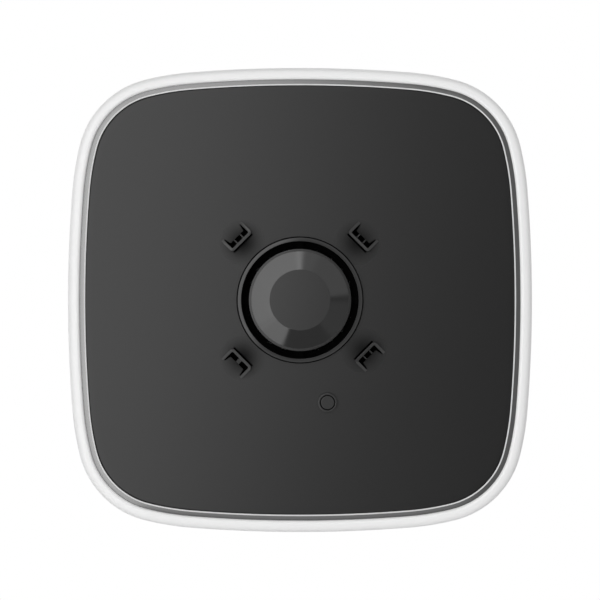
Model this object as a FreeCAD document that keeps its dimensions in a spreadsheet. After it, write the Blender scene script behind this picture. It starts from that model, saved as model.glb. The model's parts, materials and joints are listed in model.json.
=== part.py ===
import FreeCAD, Part

# Outdoor alarm siren on its wall bracket, as a parametric document.
#
# Every piece is drawn looking at the siren from the front: x to the right, y up and z out of
# the wall, so a z value is a distance from the wall. The placement FACING_OUT then stands the
# pieces up, with the wall at Y = 0 and the siren's face towards -Y.

import math
import operator
import os
from types import SimpleNamespace

import Sketcher

Vector = FreeCAD.Vector
FACING_OUT = FreeCAD.Placement(Vector(0, 0, 0), FreeCAD.Rotation(Vector(1, 0, 0), 90))

GRILLE_SLOTS = 20
BATTERIES = 4
CAPACITORS = 2
# Which quarter, anticlockwise from the upper right, has the shifted catch and the wide rib
WIDE_RIB_CATCH = 2
SHIFTED_CATCH = 3
PAST_CORNER = 1.5

# Driving dimensions, in millimetres, and in degrees for the angles
SIZES = {
    # outline of the body: four flat arcs for the sides, joined by shoulder and corner arcs
    "half_width": 100.0,
    "side_bow": 5.9,
    "shoulder_bow": 1.2,
    "side_angle": 4.6,
    "shoulder_angle": 9.5,
    # depths of the body, from the wall
    "wall_gap": 2.0,
    "parting_depth": 24.0,
    "body_depth": 45.0,
    "shell_wall": 2.5,
    "rear_draft": 6.0,
    "rear_round": 6.0,
    "front_round": 3.4,
    "rim_roll": 1.1,
    # clearances
    "running_gap": 0.3,
    "fit_gap": 0.15,
    "seal_gap": 0.05,
    # seal between the two halves
    "seal_width": 1.0,
    "seal_height": 1.0,
    "seal_inset": 0.75,
    # bracket
    "bracket_depth": 8.0,
    "bracket_floor": 2.5,
    "bracket_rim": 2.0,
    "bracket_corner": 10.0,
    "wall_screw_side": 14.0,
    "wall_screw_end": 10.5,
    "wall_screw_hole": 2.3,
    "wall_screw_head": 4.6,
    "wall_screw_sink": 3.5,
    "wall_screw_pad": 6.5,
    "cable_window_width": 34.0,
    "cable_window_height": 14.0,
    "cable_window_corner": 3.0,
    "cable_rise": 22.0,
    "break_tab_half": 11.0,
    "break_slot": 1.2,
    "break_bridge": 2.0,
    # studs that hang the siren on the bracket
    "slide_travel": 12.0,
    "stud_side": 13.0,
    "upper_stud_drop": 46.0,
    "lower_stud_rise": 23.0,
    "stud_neck": 2.0,
    "stud_head": 4.5,
    "stud_head_height": 2.0,
    "keyhole_entry_gap": 0.5,
    # bay at the back of the siren, where the bracket sits
    "bay_side_gap": 2.0,
    "bay_top_gap": 4.0,
    "bay_door_gap": 1.85,
    "bay_corner": 14.0,
    "bay_floor": 3.0,
    # screws that join the two halves
    "corner_screw_inset": 12.5,
    "corner_boss": 4.5,
    "corner_screw_shank": 1.45,
    "corner_screw_head": 2.8,
    "corner_screw_head_height": 2.0,
    "corner_screw_sink": 8.0,
    "corner_screw_length": 22.0,
    # screw that locks the siren to the bracket, from below
    "lock_screw_depth": 5.4,
    "lock_screw_shank": 1.5,
    "lock_screw_head": 2.5,
    "lock_screw_head_height": 3.0,
    "lock_screw_sink": 4.5,
    "lock_screw_bite": 7.0,
    "lock_lug_half_width": 5.0,
    "lock_lug_height": 8.0,
    "lock_tunnel_top": 10.0,
    # front opening: light guide, then the panel
    "flange_depth": 39.0,
    "flange_wall": 2.5,
    "flange_inset": 17.0,
    "guide_inset": 4.65,
    "guide_width": 3.05,
    "guide_top": 43.8,
    "guide_bevel": 2.25,
    "guide_fall": 0.3,
    "panel_crown": 45.3,
    "crown_radius": 2800.0,
    "panel_wall": 2.2,
    "panel_screw_inset": 13.5,
    "panel_screw_offset": 32.0,
    "panel_boss": 3.0,
    "panel_screw_shank": 1.2,
    "panel_screw_head": 2.3,
    "panel_screw_head_height": 1.6,
    "panel_screw_length": 5.5,
    # four catches that hold the cover plate
    "catch_gap": 8.5,
    "catch_key_offset": 4.0,
    "catch_width": 12.15,
    "catch_wall": 1.15,
    "catch_reach": 6.8,
    "catch_height": 3.5,
    "catch_corner": 1.7,
    "catch_pocket": 2.2,
    "catch_rib": 0.6,
    "catch_wide_rib": 1.7,
    "catch_slot": 1.1,
    "catch_slot_tip": 0.5,
    "catch_back_slot": 0.8,
    # horn in the middle
    "horn_mouth": 25.2,
    "horn_lip_wall": 1.8,
    "horn_lip_depth": 47.3,
    "horn_lip_round": 0.45,
    "horn_flange_width": 3.5,
    "horn_flange_wall": 1.7,
    "horn_ledge": 1.7,
    "horn_ledge_wall": 1.7,
    "horn_base_depth": 35.0,
    "cone_tip_depth": 51.0,
    "cone_gap": 3.2,
    "cone_rim_width": 1.1,
    "cone_flank_width": 7.9,
    "cone_rise": 4.5,
    "cone_wall": 2.0,
    "cone_arm_width": 3.0,
    "cone_arm_height": 2.0,
    "grille_wall": 0.6,
    "grille_slot_width": 2.0,
    "grille_slot_start": 8.0,
    "grille_edge": 2.2,
    "chamber_wall": 2.0,
    "piezo_gap": 4.5,
    "piezo_wall": 0.6,
    "piezo_seat_width": 3.0,
    "piezo_seat_height": 3.0,
    # vent plug in the panel
    "vent_x": 11.9,
    "vent_drop": 17.1,
    "vent_head": 2.9,
    "vent_head_height": 2.6,
    "vent_top": 45.9,
    "vent_stem": 2.1,
    "vent_stem_length": 3.6,
    "vent_collar": 4.5,
    "vent_collar_top": 3.8,
    "vent_collar_rise": 1.0,
    "membrane_wall": 0.3,
    # lamps under the light guide
    "lamp_board_inner": 10.0,
    "board_wall": 1.6,
    "lamp_window": 1.8,
    "lamp_length": 2.2,
    "lamp_width": 1.6,
    "lamp_height": 0.9,
    "lamp_side_angle": 1.8,
    "lamp_screw_shank": 0.85,
    "lamp_screw_head": 1.7,
    "lamp_screw_head_height": 1.2,
    "lamp_screw_bite": 2.0,
    # batteries and their compartment
    "battery_radius": 8.5,
    "battery_length": 34.5,
    "battery_nub_radius": 3.0,
    "battery_nub_height": 1.0,
    "battery_gap": 1.0,
    "battery_rise": 3.9,
    "contact_wall": 0.4,
    "contact_size": 8.0,
    "holder_wall": 1.5,
    "door_wall": 1.5,
    "door_seal_wall": 0.3,
    "door_ledge": 2.0,
    "door_edge": 4.0,
    "door_corner": 3.0,
    "well_corner": 1.5,
    "door_screw_shank": 1.2,
    "door_screw_head": 2.4,
    "door_screw_length": 8.0,
    "door_boss": 3.0,
    # main board
    "board_depth": 20.0,
    "board_side_gap": 8.0,
    "board_horn_gap": 8.0,
    "board_foot_gap": 2.0,
    "board_corner": 6.0,
    "board_post": 3.0,
    "board_post_side": 10.0,
    "board_post_inset": 5.0,
    "board_screw_shank": 1.2,
    "board_screw_head": 2.4,
    "board_screw_head_height": 1.8,
    "board_screw_length": 8.0,
    # what is soldered to the main board
    "processor_side": 10.0,
    "processor_height": 1.2,
    "processor_x": 12.0,
    "processor_rise": 25.0,
    "radio_width": 24.0,
    "radio_length": 18.0,
    "radio_height": 3.0,
    "radio_side": 22.0,
    "radio_rise": 24.0,
    "coil_radius": 5.5,
    "coil_height": 6.0,
    "coil_core": 4.4,
    "coil_rim": 1.0,
    "coil_x": 40.0,
    "coil_rise": 19.0,
    "capacitor_radius": 4.0,
    "capacitor_height": 10.0,
    "capacitor_x": 26.0,
    "capacitor_rise": 9.0,
    "capacitor_pitch": 10.0,
    "terminal_width": 15.0,
    "terminal_depth": 8.0,
    "terminal_height": 10.0,
    "terminal_x": 0.0,
    "terminal_rise": 7.0,
    "terminal_pitch": 5.0,
    "terminal_screw": 1.5,
    "antenna_wire": 0.6,
    "antenna_side": 5.0,
    "antenna_rise": 39.0,
    "antenna_stand": 6.0,
    "antenna_bend": 3.0,
    "antenna_length": 75.0,
    # tamper plunger and its switch
    "plunger_side": 16.0,
    "plunger_rise": 8.0,
    "plunger_stem": 2.0,
    "plunger_travel": 1.5,
    "plunger_collar": 6.0,
    "plunger_collar_wall": 1.2,
    "plunger_tip": 1.5,
    "ramp_half_width": 3.5,
    "ramp_wall": 2.0,
    "spring_radius": 5.1,
    "spring_wire": 0.5,
    "spring_turns": 4.0,
    "switch_side": 6.0,
    "switch_height": 3.0,
    "switch_key": 1.2,
    "switch_key_height": 1.5,
    # power button and its switch
    "button_radius": 4.0,
    "button_recess": 0.2,
    "button_travel": 0.6,
    "button_collar": 5.5,
    "button_collar_wall": 1.2,
    "button_stem": 1.6,
    # grommet of the cable way
    "grommet_hole": 5.5,
    "grommet_flange": 7.5,
    "grommet_lip": 1.2,
    "grommet_bore": 2.5,
}

OPERATIONS = {
    "+": operator.add,
    "-": operator.sub,
    "*": operator.mul,
    "/": operator.truediv,
}


class Size:
    """A size: its value now, and the expression that keeps it tied to the sheet."""

    def __init__(self, value, formula):
        self.value = value
        self.formula = formula

    def __add__(self, other):
        return joined(self, "+", other)

    def __radd__(self, other):
        return joined(other, "+", self)

    def __sub__(self, other):
        return joined(self, "-", other)

    def __rsub__(self, other):
        return joined(other, "-", self)

    def __mul__(self, other):
        return joined(self, "*", other)

    def __rmul__(self, other):
        return joined(other, "*", self)

    def __truediv__(self, other):
        return joined(self, "/", other)

    def __neg__(self):
        return joined(-1, "*", self)


def as_size(number):
    if isinstance(number, Size):
        return number
    return Size(float(number), f"({float(number)})")


def joined(left, sign, right):
    left = as_size(left)
    right = as_size(right)
    value = OPERATIONS[sign](left.value, right.value)
    return Size(value, f"({left.formula} {sign} {right.formula})")


def sine(angle):
    return Size(math.sin(math.radians(angle.value)), f"sin({angle.formula})")


def cosine(angle):
    return Size(math.cos(math.radians(angle.value)), f"cos({angle.formula})")


def tangent(angle):
    return Size(math.tan(math.radians(angle.value)), f"tan({angle.formula})")


document = FreeCAD.newDocument("Siren")


def make_sheet():
    """The spreadsheet of driving dimensions, and each of its cells as a Size."""
    sheet = document.addObject("Spreadsheet::Sheet", "Sizes")
    for row, (word, value) in enumerate(SIZES.items(), 1):
        sheet.set(f"A{row}", word)
        sheet.set(f"B{row}", str(value))
        sheet.setAlias(f"B{row}", word)
    document.recompute()
    return SimpleNamespace(**{word: Size(value, f"Sizes.{word}") for word, value in SIZES.items()})


s = make_sheet()


# Drawing and feature helpers

def bind(item, path, size):
    """Tie one property of a document object to the sheet."""
    item.setExpression(path, as_size(size).formula)


class Rules:
    """The constraints of one sketch, added together and then tied to the sheet."""

    def __init__(self, sketch):
        self.sketch = sketch
        self.constraints = []
        self.formulas = {}

    def add(self, *words):
        self.constraints.append(Sketcher.Constraint(*words))

    def tie(self, *words, size):
        self.formulas[len(self.constraints)] = size.formula
        self.add(*words, size.value)

    def tie_angle(self, item, size):
        """Hold the angle that an arc spans; the sheet has it in degrees."""
        self.formulas[len(self.constraints)] = size.formula
        self.add("Angle", item, math.radians(size.value))

    def place(self, item, point, x, y):
        """Hold one point of an item at its distances from the sketch's axes."""
        for kind, axis, size in (("DistanceX", -2, x), ("DistanceY", -1, y)):
            if size.value == 0:
                self.add("PointOnObject", item, point, axis)
            else:
                self.tie(kind, item, point, size=size)

    def apply(self):
        first = self.sketch.ConstraintCount
        self.sketch.addConstraint(self.constraints)
        for index, formula in self.formulas.items():
            self.sketch.setExpression(f"Constraints[{first + index}]", formula)


def new_body(name):
    body = document.addObject("PartDesign::Body", name)
    body.Label = name
    body.Placement = FACING_OUT
    return body


def origin_feature(body, role):
    return next(feature for feature in body.Origin.OriginFeatures if feature.Role == role)


def new_sketch(body, level=0, role="XY_Plane"):
    """A sketch on one of the body's own planes, or at a level above it."""
    sketch = body.newObject("Sketcher::SketchObject", "Sketch")
    sketch.AttachmentSupport = (origin_feature(body, role), [""])
    sketch.MapMode = "FlatFace"
    bind(sketch, "AttachmentOffset.Base.z", level)
    return sketch


def polygon(sketch, points):
    """A closed outline with straight sides, each corner held at its own place."""
    corners = [(as_size(x), as_size(y)) for x, y in points]
    spots = [Vector(x.value, y.value, 0) for x, y in corners]
    sides = [Part.LineSegment(here, there) for here, there in zip(spots, spots[1:] + spots[:1])]
    items = list(sketch.addGeometry(sides, False))
    rules = Rules(sketch)
    for item, after in zip(items, items[1:] + items[:1]):
        rules.add("Coincident", item, 2, after, 1)
    for item, (x, y) in zip(items, corners):
        rules.place(item, 1, x, y)
    rules.apply()


def circle(sketch, x, y, radius):
    x, y, radius = as_size(x), as_size(y), as_size(radius)
    item = sketch.addGeometry(Part.Circle(Vector(x.value, y.value, 0), Vector(0, 0, 1), radius.value), False)
    rules = Rules(sketch)
    rules.place(item, 3, x, y)
    rules.tie("Radius", item, size=radius)
    rules.apply()


def rounded_rectangle(sketch, x_range, y_range, corner):
    left, right = (as_size(x) for x in x_range)
    bottom, top = (as_size(y) for y in y_range)
    r = corner.value
    x0, x1, y0, y1 = left.value, right.value, bottom.value, top.value
    lines = [
        (Vector(x0 + r, y0, 0), Vector(x1 - r, y0, 0)),
        (Vector(x1, y0 + r, 0), Vector(x1, y1 - r, 0)),
        (Vector(x1 - r, y1, 0), Vector(x0 + r, y1, 0)),
        (Vector(x0, y1 - r, 0), Vector(x0, y0 + r, 0)),
    ]
    centres = [(x1 - r, y0 + r), (x1 - r, y1 - r), (x0 + r, y1 - r), (x0 + r, y0 + r)]
    shapes = []
    for turn, (line, (x, y)) in enumerate(zip(lines, centres)):
        start = math.radians(90 * turn - 90)
        shapes.append(Part.LineSegment(*line))
        circle_here = Part.Circle(Vector(x, y, 0), Vector(0, 0, 1), r)
        shapes.append(Part.ArcOfCircle(circle_here, start, start + math.pi / 2))
    items = list(sketch.addGeometry(shapes, False))
    rules = Rules(sketch)
    for item, after in zip(items, items[1:] + items[:1]):
        rules.add("Tangent", item, 2, after, 1)
    sides = items[0::2]
    for item, kind in zip(sides, ("Horizontal", "Vertical", "Horizontal", "Vertical")):
        rules.add(kind, item)
    rules.tie("Radius", items[1], size=corner)
    for item in items[3::2]:
        rules.add("Equal", items[1], item)
    rules.tie("DistanceY", sides[0], 1, size=bottom)
    rules.tie("DistanceX", sides[1], 1, size=right)
    rules.tie("DistanceY", sides[2], 1, size=top)
    rules.tie("DistanceX", sides[3], 1, size=left)
    rules.apply()


def pad(body, profile, length, inward=False, draft=None):
    """Grow a profile away from the wall, or towards it when inward."""
    feature = body.newObject("PartDesign::Pad", "Pad")
    feature.Profile = profile
    feature.Reversed = inward
    bind(feature, "Length", length)
    if draft:
        bind(feature, "TaperAngle", -draft)
    return feature


def pocket(body, profile, length, inward=False, draft=None):
    """Cut a profile away from the wall, or towards it when inward."""
    feature = body.newObject("PartDesign::Pocket", "Pocket")
    feature.Profile = profile
    feature.Reversed = not inward
    bind(feature, "Length", length)
    if draft:
        bind(feature, "TaperAngle", -draft)
    return feature


def extruded(body, profile, z_range, cut):
    """Grow or cut a profile that is drawn at the start of a stretch of z."""
    start, stop = z_range
    make = pocket if cut else pad
    return make(body, profile, as_size(stop) - start)


def rods(body, places, z_range, radius, cut=False):
    """Round rods or holes square to the wall, drawn in one sketch."""
    sketch = new_sketch(body, z_range[0])
    for x, y in places:
        circle(sketch, x, y, radius)
    return extruded(body, sketch, z_range, cut)


def slabs(body, rectangles, z_range, cut=False):
    """Blocks or square holes drawn in one sketch, each from its stretch of x and of y."""
    sketch = new_sketch(body, z_range[0])
    for (left, right), (bottom, top) in rectangles:
        polygon(sketch, [(left, bottom), (right, bottom), (right, top), (left, top)])
    return extruded(body, sketch, z_range, cut)


def plate(body, x_range, y_range, corner, z_range, cut=False):
    """A plate or a square hole with rounded corners."""
    sketch = new_sketch(body, z_range[0])
    rounded_rectangle(sketch, x_range, y_range, corner)
    return extruded(body, sketch, z_range, cut)


def upright_rod(body, x, z, y_range, radius, cut=False):
    """A round rod or hole that runs upwards along the wall."""
    prefix = "Subtractive" if cut else "Additive"
    feature = body.newObject(f"PartDesign::{prefix}Cylinder", "Cylinder")
    feature.Placement.Rotation = FreeCAD.Rotation(Vector(1, 0, 0), -90)
    start, stop = y_range
    bind(feature, "Radius", radius)
    bind(feature, "Height", as_size(stop) - start)
    for axis, place in (("x", x), ("y", start), ("z", z)):
        bind(feature, f"Placement.Base.{axis}", place)
    return feature


def turned(body, points):
    """A piece turned about the body's own z axis, from (radius, z) points."""
    sketch = new_sketch(body, 0, "XZ_Plane")
    polygon(sketch, points)
    feature = body.newObject("PartDesign::Revolution", "Revolution")
    feature.Profile = sketch
    feature.ReferenceAxis = (sketch, ["V_Axis"])
    feature.Angle = 360
    return feature


def round_pattern(body, originals, count):
    """Repeat features about the body's own z axis."""
    pattern = body.newObject("PartDesign::PolarPattern", "PolarPattern")
    pattern.Originals = originals
    pattern.Axis = (origin_feature(body, "Z_Axis"), [""])
    pattern.Angle = 360
    pattern.Occurrences = count
    body.Tip = pattern
    return pattern


def edges_at(feature, level):
    """The names of the edges that lie flat at one distance from the wall."""
    names = []
    for number, edge in enumerate(feature.Shape.Edges, 1):
        box = edge.BoundBox
        if box.ZLength < 1e-4 and abs(box.ZMin - level.value) < 1e-4:
            names.append(f"Edge{number}")
    return names


def new_edges(feature, before, level):
    """The edges at a level that an earlier feature didn't have."""
    old = [edge.CenterOfMass for edge in before.Shape.Edges]
    names = []
    for name in edges_at(feature, level):
        middle = feature.Shape.getElement(name).CenterOfMass
        if all((middle - place).Length > 1e-3 for place in old):
            names.append(name)
    return names


def dress(body, kind, feature, edges, size):
    """A fillet or a chamfer on the named edges of a feature."""
    dressing = body.newObject(f"PartDesign::{kind}", kind)
    dressing.Base = (feature, edges)
    bind(dressing, "Radius" if kind == "Fillet" else "Size", size)
    return dressing


def both_ways(*sizes):
    """Each mix of signs of the given sizes."""
    if not sizes:
        return [()]
    rest = both_ways(*sizes[1:])
    return [(sign * sizes[0],) + others for sign in (-1, 1) for others in rest]


# The body's outline, shared by the two halves and all that follows their edge

side_radius = s.half_width * s.side_bow
shoulder_radius = s.half_width * s.shoulder_bow
shoulder_end = s.side_angle + s.shoulder_angle
side_centre = s.half_width - side_radius
shoulder_reach = side_radius - shoulder_radius
shoulder_x = side_centre + shoulder_reach * cosine(s.side_angle)
shoulder_y = shoulder_reach * sine(s.side_angle)
corner_reach = (shoulder_y - shoulder_x) / (cosine(shoulder_end) - sine(shoulder_end))
corner_radius = shoulder_radius - corner_reach
corner_place = shoulder_x + corner_reach * cosine(shoulder_end)


def quarter_turned(x, y, turns):
    """A point turned about the middle of the siren by quarter turns."""
    return ((x, y), (-y, x), (-x, -y), (y, -x))[turns]


def draw_outline():
    """Sixteen arcs, each tangent to the next: side, shoulder, corner, shoulder, and so on."""
    sketch = document.addObject("Sketcher::SketchObject", "siren_outline")
    side, shoulder_turn = math.radians(s.side_angle.value), math.radians(shoulder_end.value)
    quarter = [
        (side_centre.value, 0.0, side_radius.value, -side, side),
        (shoulder_x.value, shoulder_y.value, shoulder_radius.value, side, shoulder_turn),
        (corner_place.value, corner_place.value, corner_radius.value,
         shoulder_turn, math.pi / 2 - shoulder_turn),
        (shoulder_y.value, shoulder_x.value, shoulder_radius.value,
         math.pi / 2 - shoulder_turn, math.pi / 2 - side),
    ]
    arcs = []
    for turns in range(4):
        for x, y, radius, start, stop in quarter:
            spot = Vector(*quarter_turned(x, y, turns), 0)
            base = turns * math.pi / 2
            arcs.append(Part.ArcOfCircle(Part.Circle(spot, Vector(0, 0, 1), radius), base + start, base + stop))
    items = list(sketch.addGeometry(arcs, False))
    rules = Rules(sketch)
    for item, after in zip(items, items[1:] + items[:1]):
        rules.add("Tangent", item, 2, after, 1)
    sides, corners = items[0::4], items[2::4]
    for item, axis in zip(sides, (-1, -2, -1, -2)):
        rules.add("PointOnObject", item, 3, axis)
        rules.add("Symmetric", item, 1, item, 2, axis)
        rules.tie("Distance", item, 3, -1, 1, size=side_radius - s.half_width)
        rules.tie_angle(item, s.side_angle * 2)
    rules.tie("Radius", sides[0], size=side_radius)
    rules.tie("Radius", items[1], size=shoulder_radius)
    rules.tie_angle(items[1], s.shoulder_angle)
    for first, others in ((sides[0], sides[1:]), (corners[0], corners[1:]), (items[1], items[3::2])):
        for item in others:
            rules.add("Equal", first, item)
    rules.apply()
    return sketch


siren_outline = draw_outline()


def outline(body, inset, level):
    """The siren's outline drawn in by an inset, at a distance from the wall."""
    binder = body.newObject("PartDesign::SubShapeBinder", "Outline")
    binder.Relative = False
    binder.Support = [(siren_outline, ("",))]
    bind(binder, "Offset", -as_size(inset))
    bind(binder, "Placement.Base.z", level)
    return binder


# The horn's round sizes, each from the mouth

horn_lip = s.horn_mouth + s.horn_lip_wall
horn_flange = horn_lip + s.horn_flange_width
cone_rim = s.horn_mouth - s.cone_gap
cone_base = cone_rim - s.cone_rim_width
cone_tip = cone_base - s.cone_flank_width
grille_slot_end = s.horn_mouth - s.grille_edge
piezo_radius = horn_lip - s.chamber_wall - s.piezo_gap
catch_radius = horn_lip + s.catch_gap
vent_y = -(horn_lip + s.vent_drop)

# The batteries stand above the horn, and their door sets the top of the bay and of the bracket

battery_pitch = 2 * s.battery_radius + s.battery_gap
battery_bottom = horn_lip + s.battery_rise
battery_top = battery_bottom + s.battery_length
contact_bottom = battery_bottom - s.running_gap - s.contact_wall
contact_top = battery_top + s.running_gap + s.contact_wall
well_half = battery_pitch * BATTERIES / 2
well_bottom = contact_bottom - s.seal_gap
well_top = contact_top + s.seal_gap
door_bottom = well_bottom - s.door_ledge
door_top = well_top + s.door_ledge
door_screw_x = well_half + s.holder_wall + s.running_gap + s.door_boss
door_screw_places = [(x, (door_bottom + door_top) / 2) for x in (-door_screw_x, door_screw_x)]
door_half = door_screw_x + s.door_edge
bay_top = door_top + s.bay_door_gap
bracket_half = bay_top - s.bay_top_gap
bay_half = bracket_half + s.bay_side_gap
bay_bottom = -(bracket_half + s.slide_travel + s.bay_side_gap)

# Places on the bracket

wall_screw_x = bracket_half - s.wall_screw_side
wall_screw_y = bracket_half - s.wall_screw_end
stud_x = bracket_half - s.stud_side
upper_stud_y = bracket_half - s.upper_stud_drop
lower_stud_y = s.lower_stud_rise - bracket_half
stud_places = [(x, y) for x in (-stud_x, stud_x) for y in (lower_stud_y, upper_stud_y)]
cable_y = s.cable_rise - bracket_half
plunger_x = wall_screw_x - s.plunger_side
plunger_y = s.plunger_rise - bracket_half
lug_top = s.lock_lug_height - bracket_half

# Distances from the wall

floor_back = s.bracket_depth - s.bracket_floor
bay_face = s.bracket_depth + s.running_gap
bay_inner = bay_face + s.bay_floor
flange_back = s.flange_depth - s.flange_wall
panel_under = s.panel_crown - s.panel_wall
vent_seat = s.vent_top - s.vent_head_height - s.seal_gap
vent_foot = s.panel_crown - s.vent_head_height - s.panel_wall
ledge_top = s.horn_base_depth + s.horn_ledge_wall
grille_top = ledge_top + s.grille_wall
chamber_floor = bay_inner + s.seal_gap + s.chamber_wall
piezo_seat_top = chamber_floor + s.piezo_seat_height
battery_depth = bay_inner + s.running_gap + s.battery_radius
well_front = battery_depth + s.battery_radius + s.running_gap
board_front = s.board_depth + s.board_wall
switch_back = s.board_depth - s.switch_height
key_back = switch_back - s.switch_key_height
collar_back = bay_inner + s.plunger_travel + s.running_gap
collar_front = collar_back + s.plunger_collar_wall
lamp_board_front = flange_back - s.seal_gap
lamp_board_back = lamp_board_front - s.board_wall

# Places in the body

rear_height = s.parting_depth - s.wall_gap
rear_shrink = rear_height * tangent(s.rear_draft)
corner_out = corner_place + (corner_radius - s.corner_screw_inset) * cosine(as_size(45))
corner_places = both_ways(corner_out, corner_out)
corner_screw_seat = s.wall_gap + s.corner_screw_sink
corner_screw_hole = s.corner_screw_shank + s.fit_gap
lock_screw_hole = s.lock_screw_shank + s.fit_gap
lock_screw_seat = s.lock_screw_sink + rear_shrink - s.half_width
panel_inset = s.guide_inset + s.guide_width
panel_screw_x = s.half_width - s.panel_screw_inset
panel_screw_places = [(panel_screw_x, y) for y in (-s.panel_screw_offset, s.panel_screw_offset)]
lamp_inset = (s.guide_inset + panel_inset) / 2
lamp_screw_x = s.half_width - lamp_inset

# The main board and the places on it

board_half = bay_half - s.board_side_gap
board_top = -(horn_lip + s.board_horn_gap)
board_bottom = bay_bottom + s.board_foot_gap
board_post_x = board_half - s.board_post_side
post_heights = (board_bottom + s.board_post_inset, board_top - s.board_post_inset)
board_posts = [(x, y) for x in (-board_post_x, board_post_x) for y in post_heights]
processor_y = board_bottom + s.processor_rise
radio_x = s.radio_side - board_half
radio_y = board_bottom + s.radio_rise
coil_y = board_bottom + s.coil_rise
capacitor_y = board_bottom + s.capacitor_rise
terminal_y = board_bottom + s.terminal_rise
antenna_x = s.antenna_side - board_half
antenna_y = board_bottom + s.antenna_rise


def lamp_places():
    """Where the lamps of one quarter stand: on its side, shoulder, corner and shoulder arcs."""
    middle = s.side_angle + s.shoulder_angle / 2
    side_reach = side_radius - lamp_inset
    shoulder_out = shoulder_radius - lamp_inset
    along = shoulder_x + shoulder_out * cosine(middle)
    across = shoulder_y + shoulder_out * sine(middle)
    corner = corner_place + (corner_radius - lamp_inset) * cosine(as_size(45))
    side_x = side_centre + side_reach * cosine(s.lamp_side_angle)
    side_y = side_reach * sine(s.lamp_side_angle)
    return [(side_x, -side_y), (side_x, side_y), (along, across), (corner, corner), (across, along)]


# The bracket

def mounting_plate():
    """A shallow tray that is screwed to the wall and carries the siren on four keyholes."""
    body = new_body("mounting_plate")
    half = bracket_half
    inner = half - s.bracket_rim
    through = (0, s.bracket_depth)
    plate(body, (-half, half), (-half, half), s.bracket_corner, through)
    plate(body, (-inner, inner), (-inner, inner), s.bracket_corner - s.bracket_rim, (0, floor_back), cut=True)
    screws = both_ways(wall_screw_x, wall_screw_y) + [(0, 0)]
    rods(body, screws, through, s.wall_screw_pad)
    add_lock_lug(body)
    add_tamper_ramp(body)
    rods(body, screws, through, s.wall_screw_hole, cut=True)
    rods(body, screws, (s.bracket_depth - s.wall_screw_sink, s.bracket_depth), s.wall_screw_head, cut=True)
    keyholes = new_sketch(body)
    for x, y in stud_places:
        keyhole(keyholes, x, y)
    pocket(body, keyholes, s.bracket_depth)
    slabs(body, break_slots(), through, cut=True)
    half_window = s.cable_window_width / 2
    reach = s.cable_window_height / 2
    plate(body, (-half_window, half_window), (cable_y - reach, cable_y + reach),
          s.cable_window_corner, through, cut=True)
    return body


def keyhole(sketch, x, y):
    """An outline that lets a stud's head in at the top and holds its neck at the bottom."""
    slot = s.stud_neck + s.running_gap
    entry = s.stud_head + s.keyhole_entry_gap
    entry_y = y + s.slide_travel
    half_angle = math.asin(slot.value / entry.value)
    side_top = entry_y.value - entry.value * math.cos(half_angle)
    right, left = x.value + slot.value, x.value - slot.value
    foot = Part.Circle(Vector(x.value, y.value, 0), Vector(0, 0, 1), slot.value)
    head = Part.Circle(Vector(x.value, entry_y.value, 0), Vector(0, 0, 1), entry.value)
    down = -math.pi / 2
    shapes = [
        Part.ArcOfCircle(foot, math.pi, 2 * math.pi),
        Part.LineSegment(Vector(right, y.value, 0), Vector(right, side_top, 0)),
        Part.ArcOfCircle(head, down + half_angle, down - half_angle + 2 * math.pi),
        Part.LineSegment(Vector(left, side_top, 0), Vector(left, y.value, 0)),
    ]
    bottom, up, top, back = sketch.addGeometry(shapes, False)
    rules = Rules(sketch)
    rules.add("Tangent", bottom, 2, up, 1)
    rules.add("Coincident", up, 2, top, 1)
    rules.add("Coincident", top, 2, back, 1)
    rules.add("Tangent", back, 2, bottom, 1)
    rules.add("Vertical", up)
    rules.add("Vertical", back)
    rules.place(bottom, 3, x, y)
    rules.place(top, 3, x, entry_y)
    rules.tie("Radius", bottom, size=slot)
    rules.tie("Radius", top, size=entry)
    rules.apply()


def break_slots():
    """Four slots round a tab that snaps off, and trips the tamper switch, if the siren is torn down."""
    out = s.break_tab_half
    start = out - s.break_slot
    reach = out - s.break_slot - s.break_bridge
    long_side = (-reach, reach)
    return [rectangle for near, far in ((-out, -start), (start, out))
            for rectangle in (((near, far), long_side), (long_side, (near, far)))]


def add_lock_lug(body):
    """The lug at the foot, with the hole that the locking screw enters from below."""
    half = s.lock_lug_half_width
    foot = -bracket_half
    slabs(body, [((-half, half), (foot, lug_top))], (0, s.bracket_depth))
    upright_rod(body, 0, s.lock_screw_depth, (foot, lug_top), lock_screw_hole, cut=True)
    window_foot = cable_y - s.cable_window_height / 2
    slabs(body, [((-lock_screw_hole, lock_screw_hole), (lug_top, window_foot))],
          (floor_back, s.bracket_depth), cut=True)


def add_tamper_ramp(body):
    """A sloped groove: the plunger runs out along it as the siren is slid up."""
    low = plunger_y - s.plunger_stem
    high = plunger_y + s.slide_travel + 2 * s.plunger_stem
    half = s.ramp_half_width
    wall = s.ramp_wall
    slabs(body, [((plunger_x - half - wall, plunger_x + half + wall), (low, high + wall))],
          (floor_back - wall, s.bracket_depth))
    drop = (high - low) * s.plunger_travel / s.slide_travel
    wedge = new_sketch(body, plunger_x, "YZ_Plane")
    polygon(wedge, [(low, s.bracket_depth), (high, s.bracket_depth - drop), (high, s.bracket_depth)])
    groove = pocket(body, wedge, 2 * half)
    groove.Midplane = True


# The two halves of the body

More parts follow.
